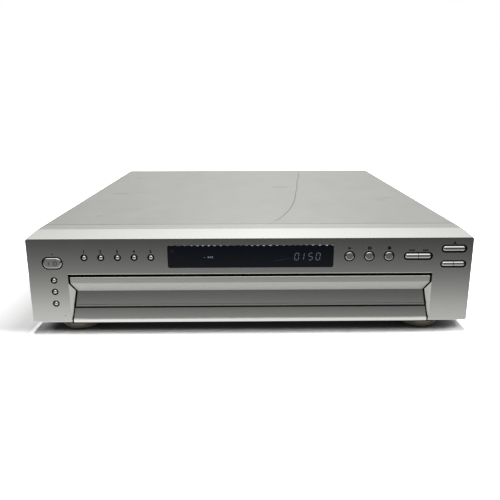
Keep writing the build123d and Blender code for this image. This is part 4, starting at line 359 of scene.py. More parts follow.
# %% Where the spray went, and where gaps are painted black as shade
def rising(kind, axis, none, full):
    """A mask along one axis: by the place in metres (Object), or by where the surface looks (Normal)."""
    def mask(tree):
        parts = add(tree, "ShaderNodeSeparateXYZ", links={0: add(tree, "ShaderNodeTexCoord").outputs[kind]})
        ends = {**SMOOTH, "From Min": none, "From Max": full}
        return add(tree, "ShaderNodeMapRange", ends, {"Value": parts.outputs[axis]})
    return mask


def off_middle(none, full, *leans):
    """A mask by how far a place is from the middle, in metres. A lean (height from, height to, how
    much wider), in millimetres, moves the mask outwards over those heights."""
    def mask(tree):
        place = add(tree, "ShaderNodeSeparateXYZ", links={0: add(tree, "ShaderNodeTexCoord").outputs["Object"]})
        distance = add(tree, "ShaderNodeMath", {"operation": "ABSOLUTE"}, {0: place.outputs["X"]})
        for start, end, wider in leans:
            ends = {"From Min": start * MM, "From Max": end * MM, "To Max": wider * MM}
            lean = add(tree, "ShaderNodeMapRange", ends, {"Value": place.outputs["Z"]})
            distance = add(tree, "ShaderNodeMath", {"operation": "SUBTRACT"}, {0: distance, 1: lean})
        return add(tree, "ShaderNodeMapRange", {**SMOOTH, "From Min": none, "From Max": full}, {"Value": distance})
    return mask


def all_of(*masks):
    """A mask that shows only where each of these does."""
    def mask(tree):
        shown = masks[0](tree)
        for other in masks[1:]:
            shown = add(tree, "ShaderNodeMath", TIMES, {0: shown, 1: other(tree)})
        return shown
    return mask


def streak(x, y, turn, length, width, plane="XY"):
    """A mask of one elliptical mark; x, y and sizes in millimetres, on the top or on the face."""
    def mask(tree):
        place = add(tree, "ShaderNodeSeparateXYZ", links={0: add(tree, "ShaderNodeTexCoord").outputs["Object"]})
        flat = add(tree, "ShaderNodeCombineXYZ", links={0: place.outputs[plane[0]], 1: place.outputs[plane[1]]})
        settings = {"vector_type": "TEXTURE", "Location": (x * MM, y * MM, 0), "Rotation": (0, 0, radians(turn)),
                    "Scale": (length * MM / 2, width * MM / 2, 1)}
        local = add(tree, "ShaderNodeMapping", settings, {"Vector": flat})
        size = add(tree, "ShaderNodeVectorMath", {"operation": "LENGTH"}, {0: local})
        ends = {**SMOOTH, "From Min": 1.0, "From Max": 0.5}
        return add(tree, "ShaderNodeMapRange", ends, {"Value": size.outputs["Value"]})
    return mask


BLACK_ABS = "#0a0a0b"
# Black ABS laid over the paint where a gap is in shade: partly unsprayed plastic, partly painted shade
BLACK_PLASTIC_AS_SHADE = (BLACK_ABS, 0.0, 0.6)
turned_away = rising("Normal", "Y", -0.42, -0.22)
turned_left = rising("Normal", "X", -0.2, -0.5)
turned_right = rising("Normal", "X", 0.2, 0.5)
# Layers that paint a face black, as the shade of a gap, where it looks away from the front or sideways
black_shade_layers = [(mask, *BLACK_PLASTIC_AS_SHADE) for mask in (turned_away, turned_left, turned_right)]
print("bare layers", len(black_shade_layers))

# %% [markdown]
# Where the door looks down, under its ridge, it is painted darker as shade, and where it looks up,
# painted light makes it lighter. The strip's paint is a lighter copy of the face's, as painted light,
# and is painted darker where the strip looks up. The sides of the door and of the strip lean with the
# recess round them, and the last half millimetre there is black as painted shade, as is the strip's top edge.

# %% Silver paint on mouldings
LEDGE_EDGE_Z = 95.9 * MM
EDGE_KEPT, EDGE_SOFT = 1.4 * MM, 0.2 * MM
SIDE_FROM, SIDE_FULL = 0.7 * MM, 0.45 * MM
TOP_FROM, TOP_FULL = 0.75 * MM, 0.45 * MM
DOOR_HALF, DOOR_LEANS = 171.2 * MM, ((40.6, 50.4, 4.3), (40.6, 25.3, 2.0))
STRIP_HALF, STRIP_LEAN = 174.0 * MM, (23.9, 9.0, 1.9)
SILVER = dict(metallic=1.0, roughness=0.27, grain_mm=0.5, grain=0.10, mottle_mm=30.0, mottle=0.02, rough_spread=0.015)
panel_side, panel_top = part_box("front_panel")[1].x - EDGE_KEPT, LEDGE_EDGE_Z - EDGE_KEPT
# Painted shade: the walls of the panel's gaps and holes are black, but for its outer sides and ledge
gap_walls = all_of(turned_away, off_middle(panel_side, panel_side - EDGE_SOFT),
                   rising("Object", "Z", panel_top, panel_top - EDGE_SOFT))
chip = streak(-182.6, BASE_Z / MM + 7.6, 0, 1.3, 1.1, "XZ")
dress(finish("silver_paint_on_abs", "#d2d2ce", **SILVER,
             layers=[(gap_walls, *BLACK_PLASTIC_AS_SHADE), (chip, "#3a3a3a", 0.0, 0.5)]), "front_panel")
# Painted shade where the door looks down, painted light where it looks up
shaded_below_ridge = (rising("Normal", "Z", -0.25, -0.4), "#c0c0bc", 1.0, 0.27)
lit_above_ridge = (rising("Normal", "Z", 0.08, 0.16), "#dededa", 1.0, 0.27)
# Painted shade: the door's side edges are black, as the shade of the gaps beside it
door_sides = (off_middle(DOOR_HALF - SIDE_FROM, DOOR_HALF - SIDE_FULL, *DOOR_LEANS), *BLACK_PLASTIC_AS_SHADE)
dress(finish("silver_paint_on_door", "#d2d2ce", **SILVER, layers=[shaded_below_ridge, lit_above_ridge, *black_shade_layers, door_sides]),
      "tray_door")
strip_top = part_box("lower_fascia")[1].z
# Painted shade where the strip looks up; its top edge and sides are black as the shade of its gaps
shaded_strip_field = (rising("Normal", "Z", 0.0, 0.12), "#bcbcb8", 1.0, 0.27)
strip_edge = (rising("Object", "Z", strip_top - TOP_FROM, strip_top - TOP_FULL), *BLACK_PLASTIC_AS_SHADE)
strip_sides = (off_middle(STRIP_HALF - SIDE_FROM, STRIP_HALF - SIDE_FULL, STRIP_LEAN), *BLACK_PLASTIC_AS_SHADE)
# The strip's base is a lighter copy of the face's silver: painted light
dress(finish("lighter_silver_paint_on_fascia", "#ebebe7", **SILVER, layers=[shaded_strip_field, *black_shade_layers, strip_edge, strip_sides]),
      "lower_fascia")

# %% [markdown]
# ### Keys
#
# The caps are plated, not sprayed, so they mirror the room sharply: a bright line from above, a dark
# one from the horizon and a bright one from the table. Their stems and flanges, a little behind the
# panel's front, are black, as unplated plastic and as painted shade of the gap round each key, and so
# are the steep rims of the small caps.

# %% Keys
SMALL_KEY_W = 9 * MM
KEYS = sorted(name for name in nodes if name.endswith("_button"))
SMALL_KEYS = [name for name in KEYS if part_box(name)[1].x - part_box(name)[0].x < SMALL_KEY_W]
PLATED = dict(metallic=1.0, roughness=0.09, grain_mm=0.4, grain=0.02, mottle_mm=8.0, mottle=0.02, rough_spread=0.02)
# Painted shade: stems and flanges behind the front, and the small caps' steep rims, are black
stem_shade = (rising("Object", "Y", FACE_Y + 0.15 * MM, FACE_Y + 0.7 * MM), *BLACK_PLASTIC_AS_SHADE)
small_rim_shade = (rising("Normal", "Y", -0.62, -0.45), *BLACK_PLASTIC_AS_SHADE)
dress(finish("plated_keys", "#dadad6", **PLATED, layers=[stem_shade]), *KEYS)
dress(finish("plated_small_keys", "#e2e2de", **PLATED, layers=[small_rim_shade, stem_shade]), *SMALL_KEYS)
print("keys", len(KEYS), "small", len(SMALL_KEYS))

# %% [markdown]
# ### Cover
#
# The cover is folded sheet steel with a satin silver powder. It has been lived with: one long scratch
# runs across it and short scuffs lie about. The long scratch is a slanted line that bends ever more
# towards its front end, which an exponential gives, and a slow noise keeps it from being perfect.

# %% Cover paint with its scratches
SCRATCH_END = (26.5 * MM, -159.0 * MM)
SCRATCH_SLANT = 0.128
SCRATCH_BEND = 21.7 * MM
SCRATCH_SOFT = 46.0 * MM
SCRATCH_WIDTH, SCRATCH_CORE = 1.0 * MM, 0.3
SCRATCH_TO = 175.0 * MM
SCRATCH_WANDER = 0.006
FADES_IN, FADES_OUT = 12 * MM, 10 * MM


def long_scratch(tree):
    """The mask of the long scratch, by how far a place is from its line."""
    place = add(tree, "ShaderNodeSeparateXYZ", links={0: add(tree, "ShaderNodeTexCoord").outputs["Object"]})
    along = add(tree, "ShaderNodeMath", {"operation": "SUBTRACT", 1: SCRATCH_END[1]}, {0: place.outputs["Y"]})
    decay = add(tree, "ShaderNodeMath", {**TIMES, 1: -1 / SCRATCH_SOFT}, {0: along})
    power = add(tree, "ShaderNodeMath", {"operation": "EXPONENT"}, {0: decay})
    bend = add(tree, "ShaderNodeMath", {**TIMES_PLUS, 1: -SCRATCH_BEND, 2: SCRATCH_BEND + SCRATCH_END[0]},
               {0: power})
    line_x = add(tree, "ShaderNodeMath", {**TIMES_PLUS, 1: SCRATCH_SLANT}, {0: along, 2: bend})
    wander = add(tree, "ShaderNodeTexNoise", {"Scale": 14.0, "Detail": 2.0},
                 {"Vector": add(tree, "ShaderNodeTexCoord").outputs["Object"]})
    away = add(tree, "ShaderNodeMath", {"operation": "SUBTRACT"}, {0: place.outputs["X"], 1: line_x})
    off = add(tree, "ShaderNodeMath", {**TIMES_PLUS, 1: SCRATCH_WANDER}, {0: wander, 2: away})
    near = add(tree, "ShaderNodeMath", {"operation": "ABSOLUTE"}, {0: off})
    line, start, end = (
        add(tree, "ShaderNodeMapRange", {**SMOOTH, "From Min": none, "From Max": full}, {"Value": value})
        for value, none, full in ((near, SCRATCH_WIDTH, SCRATCH_WIDTH * SCRATCH_CORE), (along, 0.0, FADES_IN),
                                  (place.outputs["Y"], SCRATCH_TO, SCRATCH_TO - FADES_OUT)))
    ends = add(tree, "ShaderNodeMath", TIMES, {0: start, 1: end})
    return add(tree, "ShaderNodeMath", TIMES, {0: line, 1: ends})


SCRATCH_TONE = "#8e8e8a"
SCUFFS = [streak(-181, 122, 8, 17, 5.0), streak(-167, -129, 20, 8, 3.0), streak(46, 39, -3, 34, 6.0),
          streak(181, -38, 24, 52, 2.2), streak(168, -52, -4, 26, 1.8), streak(-176, -6, 3, 34, 4.0),
          streak(-150, 4, -2, 26, 2.4)]
cover_layers = [(long_scratch, SCRATCH_TONE, 1.0, 0.45)]
cover_layers += [(scuff, "#9c9c98", 1.0, 0.45) for scuff in SCUFFS]
dress(finish("satin_silver_on_steel", "#bfbfba", metallic=1.0, roughness=0.36, grain_mm=0.7, grain=0.16,
             mottle_mm=28.0, mottle=0.05, rough_spread=0.04, layers=cover_layers), "top_cover")

# %% [markdown]
# ### Metal parts
#
# Sheet, screws, motor cans and shafts. Zinc shows a fine spangle, drawn cans show lines along their
# axis, and turned parts show lines round it. All keep a metal's own reflection and differ in tone and
# in how far they blur it.

# %% Metals
# Zinc-plated sheet: a faint spangle of blue-grey crystals under a thin passivated film
dress(finish("zinc_plated_sheet", "#b9bcbe", metallic=1.0, roughness=0.34, grain_mm=2.5, grain=0.05, mottle_mm=9.0,
             mottle=0.10, rough_spread=0.08), "chassis_base", "chuck_bridge")
# Plated foot ring: warm nickel, dark as painted shade under the cabinet, with a painted highlight where it looks
# forwards, growing towards its top
foot_low, foot_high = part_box("feet")
# Painted highlight on the foot's front, growing towards its top
painted_foot_highlight = all_of(rising("Normal", "Y", -0.86, -1.0), rising("Object", "Z", foot_low.z + 1 * MM, foot_high.z))
dress(finish("plated_foot_in_painted_shade", "#3a362f", metallic=1.0, roughness=0.33, grain_mm=0.5, grain=0.08, mottle_mm=12.0,
             mottle=0.05, layers=[(painted_foot_highlight, "#7a7366", 1.0, 0.33)]), "feet")
# Turned brass pulleys: cut lines round the axis
dress(finish("turned_brass", "#c8a35c", metallic=1.0, roughness=0.25, grain_mm=0.4, grain=0.1, mottle_mm=3.0,
             stretch=(1, 1, 0.1)), "loading_pulley", "table_motor_pulley")
# Drawn and nickel-plated cans and ground rods: fine lines along the axis
dress(finish("drawn_motor_can", "#b0b1b4", metallic=1.0, roughness=0.3, grain_mm=0.6, grain=0.12, mottle_mm=8.0,
             stretch=(1, 1, 0.05)), "loading_motor", "table_motor", "pickup_motors", "guide_rods")
# Die-cast pickup body: a dull skin with slight flow marks
dress(finish("die_cast_alloy", "#a2a5a9", metallic=1.0, roughness=0.42, grain_mm=0.7, grain=0.3, mottle_mm=5.0,
             mottle=0.1), "optical_pickup")
# Nickel-plated sockets: bright and slightly yellow
dress(finish("nickel_plated", "#c9c4b6", metallic=1.0, roughness=0.22, grain_mm=0.8, grain=0.05, mottle_mm=4.0),
      "rear_jacks")

# %% [markdown]
# ### Plastics, boards and rubber
#
# Mouldings take their texture from the spark-eroded mould: a fine, even grain. Acetal gears are milky
# and let a little light in. Circuit boards show copper through their green lacquer as a soft mottle.

# %% Plastics, boards and rubber
# Black paint on the steel rear panel, with a wrinkle that only shows close up
dress(finish("dark_rear_paint", "#232325", roughness=0.48, grain_mm=0.6, grain=0.25, mottle_mm=60.0, mottle=0.12),
      "rear_panel")
# Felt pads: matt, fibrous and uneven
dress(finish("felt_foot_pad", "#1d1c1b", roughness=0.95, grain_mm=0.5, grain=0.8, mottle_mm=4.0, mottle=0.25),
      "foot_pads")
# Smoked acrylic: deep blue-black under a polished skin
hairline = streak(30, BASE_Z / MM + 64.6, 10, 26, 0.5, "XZ")
dress(finish("smoked_acrylic", "#040c19", roughness=0.05, grain_mm=30.0, grain=0.02, mottle_mm=90.0, mottle=0.15,
             rough_spread=0.02, layers=[(hairline, "#3a4048", 0.0, 0.4)]), "display_window")
# Display glass: grey-green, with the phosphor behind it
dress(finish("display_glass", "#39443f", roughness=0.1, grain_mm=6.0, grain=0.02, mottle_mm=20.0), "display_tube")
# Infrared receiver: nearly black dyed epoxy
dress(finish("receiver_plastic", "#120f12", roughness=0.2, grain_mm=2.0, grain=0.05, mottle_mm=4.0), "remote_receiver")
# Standby lamp: clear epoxy, unlit, that shows the dim chip inside
dress(finish("clear_lamp_epoxy", "#57504f", roughness=0.2, grain_mm=2.0, grain=0.05, mottle_mm=2.0), "standby_lamp")
# Circuit boards: green solder mask over copper
dress(finish("green_circuit_board", "#24502f", roughness=0.42, grain_mm=1.2, grain=0.3, mottle_mm=6.0, mottle=0.25),
      "control_board", "main_board", "power_board")
# Push switches: black nylon
dress(finish("black_switch_plastic", "#1b1b1c", roughness=0.5, grain_mm=0.5, mottle_mm=5.0), "key_switches")
# Black polystyrene of the deck and the tray: spark-eroded grain
dress(finish("black_moulding", "#242426", roughness=0.52, grain_mm=0.6, grain=0.35, mottle_mm=50.0, mottle=0.12),
      "deck_frame", "tray", "mains_inlet")
# Dark grey ABS of the carousel: the same grain, a shade lighter
dress(finish("dark_grey_moulding", "#3a3a3d", roughness=0.46, grain_mm=0.6, grain=0.3, mottle_mm=60.0, mottle=0.08),
      "carousel", "carousel_cap")
# Natural acetal of gears and slides: milky white, a little light gets in
dress(finish("natural_acetal", "#e4e0d3", roughness=0.38, grain_mm=1.0, grain=0.1, mottle_mm=14.0, mottle=0.05,
             Subsurface_Weight=0.1), "drive_gear", "pulley_gear", "table_pulley_gear", "lift_slide", "sled_gear",
      "chuck_puck")
# Belt rubber and the disc table's pad: matt black
dress(finish("belt_rubber", "#161616", roughness=0.8, grain_mm=0.4, grain=0.4, mottle_mm=6.0, mottle=0.2),
      "loading_belt", "table_belt", "disc_table")
# Glass-filled plastic of the pickup's holder: dull, with fibres near the skin
dress(finish("filled_plastic", "#2c2c2f", roughness=0.5, grain_mm=0.4, grain=0.4, mottle_mm=10.0, mottle=0.15),
      "pickup_holder")
# Transformer: yellow winding tape
dress(finish("yellow_winding_tape", "#c99a2e", roughness=0.4, grain_mm=1.5, grain=0.2, mottle_mm=5.0, mottle=0.15),
      "transformer")
# Capacitors in their dark sleeves
dress(finish("sleeved_parts", "#20242f", roughness=0.3, grain_mm=2.0, grain=0.05, mottle_mm=10.0, mottle=0.1),
      "power_components")

# %% [markdown]
# ## Print on the face
#
# Numbers and the usual transport symbols are screen-printed in dark grey over the keys. Ink has a
# thickness too small to see, so each mark is a flat mesh held a few hundredths of a millimetre off
# the paint, which also keeps the two surfaces from fighting for the same depth.

# %% Print
INK_LIFT = 0.04
ink = finish("dark_grey_ink", "#0d0d0e", roughness=0.6, grain_mm=0.3, grain=0.2, mottle_mm=2.0, mottle=0.1,
             Specular_IOR_Level=0.15)


def key_place(name):
    """Middle of a key on the face, in millimetres."""
    low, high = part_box(name)
    middle = (low + high) / 2
    return middle.x / MM, (middle.z - BASE_Z) / MM


def flat_marks(outlines, name, material, depth, body="cabinet"):
    """One flat piece from outlines in millimetres on the face."""
    made = bmesh.new()
    for outline in outlines:
        made.faces.new([made.verts.new(on_face(x, z, depth)) for x, z in outline])
    for face in made.faces:
        face.normal_update()
        if face.normal.y > 0:
            face.normal_flip()
    mesh = bpy.data.meshes.new(name)
    made.to_mesh(mesh)
    made.free()
    mesh.materials.append(material)
    print(name, "faces", len(mesh.polygons))
    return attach(link_object(name, mesh), body)


def bar(x, z, width, height):
    """An upright or level bar, by its middle."""
    return [(x - width / 2, z - height / 2), (x + width / 2, z - height / 2),
            (x + width / 2, z + height / 2), (x - width / 2, z + height / 2)]


def arrow(x, z, width, height):
    """A triangle that points to +x, or to -x for a negative width."""
    return [(x - width / 2, z - height / 2), (x + width / 2, z), (x - width / 2, z + height / 2)]


def ring(x, z, radius, line, start=0, sweep=360, steps=20):
    """Quads along an arc; angles in degrees, from +x, towards +z."""
    turns = [radians(start + sweep * i / steps) for i in range(steps + 1)]
    rims = [[(x + r * cos(a), z + r * sin(a)) for a in turns] for r in (radius - line / 2, radius + line / 2)]
    return [[rims[0][i], rims[1][i], rims[1][i + 1], rims[0][i + 1]] for i in range(steps)]


# %% [markdown]
# Play, pause and stop have their sign over each key. The two track keys share a pill, and their signs,
# two triangles and a bar, mirror each other. Over the open key stands a triangle on a bar.

# %% Signs over the keys
SYMBOL_H = 2.9
SYMBOL_UP = 8.15
PAUSE_BAR_W, PAUSE_BAR_OUT = 1.45, 0.95
TRACK_SYMBOL_OUT, TRACK_SYMBOL_UP = 6.4, 5.9
TRACK_H, TRACK_ARROW_W, TRACK_BAR_W = 2.2, 2.4, 0.7
TRACK_ARROWS_AT, TRACK_BAR_AT = (-1.2, 1.0), 2.5
EJECT_UP = 5.9
EJECT_HALF, EJECT_FOOT, EJECT_TIP = 1.7, -0.2, 1.4
EJECT_BAR_AT, EJECT_BAR_H = -1.0, 0.7
play_x, play_z = key_place("play_button")
pause_x, pause_z = key_place("pause_button")
stop_x, stop_z = key_place("stop_button")
back_x = key_place("previous_button")[0]
next_x, track_z = key_place("next_button")
open_x, open_z = key_place("open_close_button")
marks = [arrow(play_x, play_z + SYMBOL_UP, SYMBOL_H, SYMBOL_H)]
marks += [bar(pause_x + way * PAUSE_BAR_OUT, pause_z + SYMBOL_UP, PAUSE_BAR_W, SYMBOL_H) for way in (-1, 1)]
marks.append(bar(stop_x, stop_z + SYMBOL_UP, SYMBOL_H, SYMBOL_H))
for way in (-1, 1):
    middle, height = (back_x + next_x) / 2 + way * TRACK_SYMBOL_OUT, track_z + TRACK_SYMBOL_UP
    marks += [arrow(middle + way * at, height, way * TRACK_ARROW_W, TRACK_H) for at in TRACK_ARROWS_AT]
    marks.append(bar(middle + way * TRACK_BAR_AT, height, TRACK_BAR_W, TRACK_H))
eject_z = open_z + EJECT_UP
marks += [[(open_x - EJECT_HALF, eject_z + EJECT_FOOT), (open_x + EJECT_HALF, eject_z + EJECT_FOOT),
           (open_x, eject_z + EJECT_TIP)], bar(open_x, eject_z + EJECT_BAR_AT, 2 * EJECT_HALF, EJECT_BAR_H)]
flat_marks(marks, "face_symbols", ink, -INK_LIFT)

# %% [markdown]
# Every key stands in a hole with a little play, and a dark band is painted round the rim of that hole
# as the shade of the gap. A band of quads follows the outline of each hole: half circles joined by
# straight sides. A key's flange reaches behind the panel, so the hole is smaller than the key's box.

# %% Painted shade round the keys
RIM_LINE = 0.3
FLANGE = 1.0
HOLE_STEPS = 16


def hole_band(x, z, width, height, line):
    """Quads round a hole with round ends; width and height are the hole's own."""
    radius = height / 2
    reach = width / 2 - radius
    turns = [pi * i / HOLE_STEPS for i in range(HOLE_STEPS * 2)]
    rims = [[(x + (reach if cos(a) >= -1e-9 else -reach) + r * cos(a), z + r * sin(a)) for a in turns]
            for r in (radius, radius + line)]
    count = len(turns)
    return [[rims[0][i], rims[1][i], rims[1][(i + 1) % count], rims[0][(i + 1) % count]] for i in range(count)]


PAIRS = (("previous_button", "next_button"), ("exchange_button", "disc_skip_button"))
holes = [(name, name) for name in KEYS if not any(name in pair for pair in PAIRS)] + list(PAIRS)
bands = []
for first, last in holes:
    low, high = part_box(first)[0] / MM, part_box(last)[1] / MM
    bands += hole_band((low.x + high.x) / 2, (low.z + high.z) / 2 - BASE_Z / MM, high.x - low.x - 2 * FLANGE,
                       high.z - low.z - 2 * FLANGE, RIM_LINE)
# Painted shade: a black band on the face round each hole
gap_shade_rim = finish("painted_gap_shade", BLACK_ABS, roughness=0.6, grain_mm=0.3, grain=0.2, mottle_mm=2.0, mottle=0.1,
                  Specular_IOR_Level=0.2)
flat_marks(bands, "key_gap_shade", gap_shade_rim, -INK_LIFT / 2)

# %% [markdown]
# The power key carries the usual sign on its cap, an open ring with a line in it, and a plain line
# beside it. Fingers have rubbed it, so its ink is paler. It rides on the key.

# %% The standby sign on the power key
STANDBY_R = 1.8
STANDBY_LINE = 0.6
STANDBY_AT, PLAIN_LINE_AT = 2.9, -3.4
OPENS_AT, SWEEP = 120, 300
power_x, power_z = key_place("power_button")
power_front = (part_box("power_button")[0].y - FACE_Y) / MM
sign = ring(power_x + STANDBY_AT, power_z, STANDBY_R, STANDBY_LINE, OPENS_AT, SWEEP)
sign += [bar(power_x + STANDBY_AT, power_z + STANDBY_R * 0.75, STANDBY_LINE, STANDBY_R * 1.3),
         bar(power_x + PLAIN_LINE_AT, power_z, STANDBY_LINE, STANDBY_R * 2)]
faded_ink = finish("faded_grey_ink", "#242325", roughness=0.6, grain_mm=0.3, grain=0.2, mottle_mm=2.0, mottle=0.1)
flat_marks(sign, "power_symbol", faded_ink, power_front - INK_LIFT, "power_button")

# %% [markdown]
# The five disc keys are numbered. A figure is made by Blender's own text object and turned into a
# mesh before it is put in its place, so the finished piece sits at the origin like all others.

# %% Numbers over the disc keys
NUMBER_SIZE = 4.3
NUMBER_BOLD = 0.16
NUMBER_UP = 4.7


def figure(name, text, size, bold, material, place, body):
    """A figure as a flat mesh, centred on its place."""
    words = bpy.data.curves.new(name, "FONT")
    words.body = text
    words.align_x = "CENTER"
    words.size = size * MM
    words.offset = bold * MM
    letter = link_object(name + "_outline", words)
    mesh = bpy.data.meshes.new_from_object(letter)
    bpy.data.objects.remove(letter)
    mesh.transform(place)
    mesh.materials.clear()
    mesh.materials.append(material)
    print(name, "faces", len(mesh.polygons))
    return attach(link_object(name, mesh), body)


for number in range(1, 6):
    x, z = key_place(f"disc_{number}_button")
    upright = Matrix.Translation(on_face(x, z + NUMBER_UP, -INK_LIFT)) @ Matrix.Rotation(pi / 2, 4, "X")
    figure(f"disc_number_{number}", str(number), NUMBER_SIZE, NUMBER_BOLD, ink, upright, "cabinet")

# %% [markdown]
# ## The lit display
#
# The tube behind the dark window shows four characters made of slanted strokes. Each stroke is a thin
# six-sided lozenge, and the lit ones are chosen from nine places: a figure eight and the two halves of
# a line down its middle. A place says how far right and how far up, in half characters, and whether
# the stroke stands.

# %% Display
WINDOW_GAP = 0.05
glowing = bpy.data.materials.new("lit_phosphor")
glowing.use_nodes = True
tree = glowing.node_tree
shader = tree.nodes["Principled BSDF"]
spot = add(tree, "ShaderNodeTexCoord").outputs["Object"]
grains = add(tree, "ShaderNodeTexNoise", {"Scale": 900.0}, {"Vector": spot})
phosphor = add(tree, "ShaderNodeMix", {**COLOURS, 6: linear("#8fa9b2"), 7: linear("#b4ccd2")}, {"Factor": grains})
tree.links.new(phosphor.outputs[2], shader.inputs["Emission Color"])
shader.inputs["Base Color"].default_value = linear("#4a5d66")
shader.inputs["Emission Strength"].default_value = 0.27
window_y = (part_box("display_window")[0].y - FACE_Y) / MM
CELL_X = (44.4, 51.3, 57.8, 65.0)
CELL_Z = 67.8
CELL_W = 3.7
CELL_H = 6.9
STROKE = 0.45
SLANT = 0.12
STANDING_SHORTER, LEVEL_SHORTER = 0.25, 0.45
INDICATOR = ((-44.6, 67.3, 1.6, 0.35), (-40.8, 67.5, 1.2, 1.5), (-38.9, 67.5, 1.2, 1.5), (-37.0, 67.5, 1.2, 1.5))
PLACES = {"top": (0, 1, 0), "upper_left": (-1, 0.5, 1), "upper_right": (1, 0.5, 1), "middle": (0, 0, 0),
          "lower_left": (-1, -0.5, 1), "lower_right": (1, -0.5, 1), "bottom": (0, -1, 0),
          "upper_middle": (0, 0.5, 1), "lower_middle": (0, -0.5, 1)}
FIGURES = {"0": ("top", "upper_left", "upper_right", "lower_left", "lower_right", "bottom"),
           "1": ("upper_middle", "lower_middle"),
           "5": ("top", "upper_left", "middle", "lower_right", "bottom")}


def stroke(middle_x, middle_z, upright, half):
    """A lozenge along x or z, slanted as the display's characters are."""
    side = STROKE / 2
    along = [(-half, 0), (-half + side, side), (half - side, side), (half, 0), (half - side, -side),
             (-half + side, -side)]
    points = [(b, a) if upright else (a, b) for a, b in along]
    return [(middle_x + x + SLANT * (middle_z + z - CELL_Z), middle_z + z) for x, z in points]


lit = []
for cell_x, character in zip(CELL_X, "0150"):
    for place in FIGURES[character]:
        a, b, upright = PLACES[place]
        half = CELL_H / 4 - STANDING_SHORTER if upright else CELL_W / 2 - LEVEL_SHORTER
        lit.append(stroke(cell_x + a * CELL_W / 2, CELL_Z + b * CELL_H / 2, upright, half))
flat_marks(lit, "display_figures", glowing, window_y - WINDOW_GAP)
flat_marks([bar(*sizes) for sizes in INDICATOR], "display_indicator", glowing, window_y - WINDOW_GAP)

# %% [markdown]
# Behind the window's left corner sits the receiver for the remote control, a square that is only just
# lighter than the acrylic. Along the top edge the window's protective film was torn off, and what is
# left of it stands up in small waves that catch the light from above.

# %% Receiver and the film's edge
receiver_glint = finish("receiver_behind_acrylic", "#1d1f27", roughness=0.12, grain_mm=3.0, grain=0.05, mottle_mm=3.0,
                        mottle=0.2)
flat_marks([bar(-75.4, 73.8, 4.0, 3.6)], "receiver_square", receiver_glint, window_y - WINDOW_GAP)
FILM_HALF = 79.0
FILM_TOP = 79.5
FILM_WAVE, FILM_DRIFT, FILM_SWELL = 5.9, 7.0, 9.0
FILM_LOW, FILM_HIGH = 0.06, 0.62
FILM_GAP, FILM_LEAN = 0.03, 0.55
FILM_STEPS = 240
film = finish("clear_film_edge", "#c6c8ca", metallic=0.6, roughness=0.3, grain_mm=1.0, grain=0.1, mottle_mm=6.0,
              mottle=0.2)
made = bmesh.new()
rows = []
for i in range(FILM_STEPS + 1):
    x = -FILM_HALF + 2 * FILM_HALF * i / FILM_STEPS
    crest = max(0.0, sin(2 * pi * x / FILM_WAVE + 0.8 * sin(x / FILM_DRIFT)))
    height = FILM_LOW + FILM_HIGH * crest * (0.6 + 0.4 * sin(x / FILM_SWELL))
    rows.append((made.verts.new(on_face(x, FILM_TOP, window_y - FILM_GAP)),
                 made.verts.new(on_face(x, FILM_TOP - height, window_y - FILM_GAP - FILM_LEAN * height))))
for (a, b), (c, d) in zip(rows, rows[1:]):
    made.faces.new((a, b, d, c))
mesh = bpy.data.meshes.new("film_edge")
made.to_mesh(mesh)
made.free()
mesh.materials.append(film)
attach(link_object("film_edge", mesh), "cabinet")
print("film quads", len(mesh.polygons), "first normal", [round(v, 2) for v in mesh.polygons[0].normal])

# %% [markdown]
# ## Screws
#
# A screw head repeats over and over, so it is described once, as a Geometry Nodes tree: a low cone
# for the pan head, less two crossed bars for the driver's recess, put on every point it is given.
# Points and tree lie flat, and each group is then turned to the wall it belongs on.

# %% A tree for screw heads
CROWN = 0.72
HEAD_SIDES = 28
zinc_screw = finish("zinc_plated_screw", "#a9abad", metallic=1.0, roughness=0.28, grain_mm=0.5, grain=0.08,
                    mottle_mm=2.0, mottle=0.1)
black_screw = finish("blackened_screw", "#2a2a2c", metallic=1.0, roughness=0.32, grain_mm=0.5, grain=0.08,
                     mottle_mm=2.0, mottle=0.1)


def new_tree(name, sizes):
    """A geometry tree with named inputs for its sizes; gives back its input and output nodes too."""
    tree = bpy.data.node_groups.new(name, "GeometryNodeTree")
    tree.interface.new_socket("Geometry", in_out="INPUT", socket_type="NodeSocketGeometry")
    for size in sizes:
        tree.interface.new_socket(size, in_out="INPUT", socket_type="NodeSocketFloat")
    tree.interface.new_socket("Geometry", in_out="OUTPUT", socket_type="NodeSocketGeometry")
    return tree, add(tree, "NodeGroupInput"), add(tree, "NodeGroupOutput")


def end_tree(tree, start, end, shape, material):
    """Put the shape on each point, make the copies real and give them their finish."""
    copies = add(tree, "GeometryNodeInstanceOnPoints", links={"Points": start.outputs["Geometry"], "Instance": shape})
    real = add(tree, "GeometryNodeRealizeInstances", links={"Geometry": copies})
    dressed = add(tree, "GeometryNodeSetMaterial", {"Material": material}, {"Geometry": real})
    tree.links.new(dressed.outputs[0], end.inputs[0])
    return tree


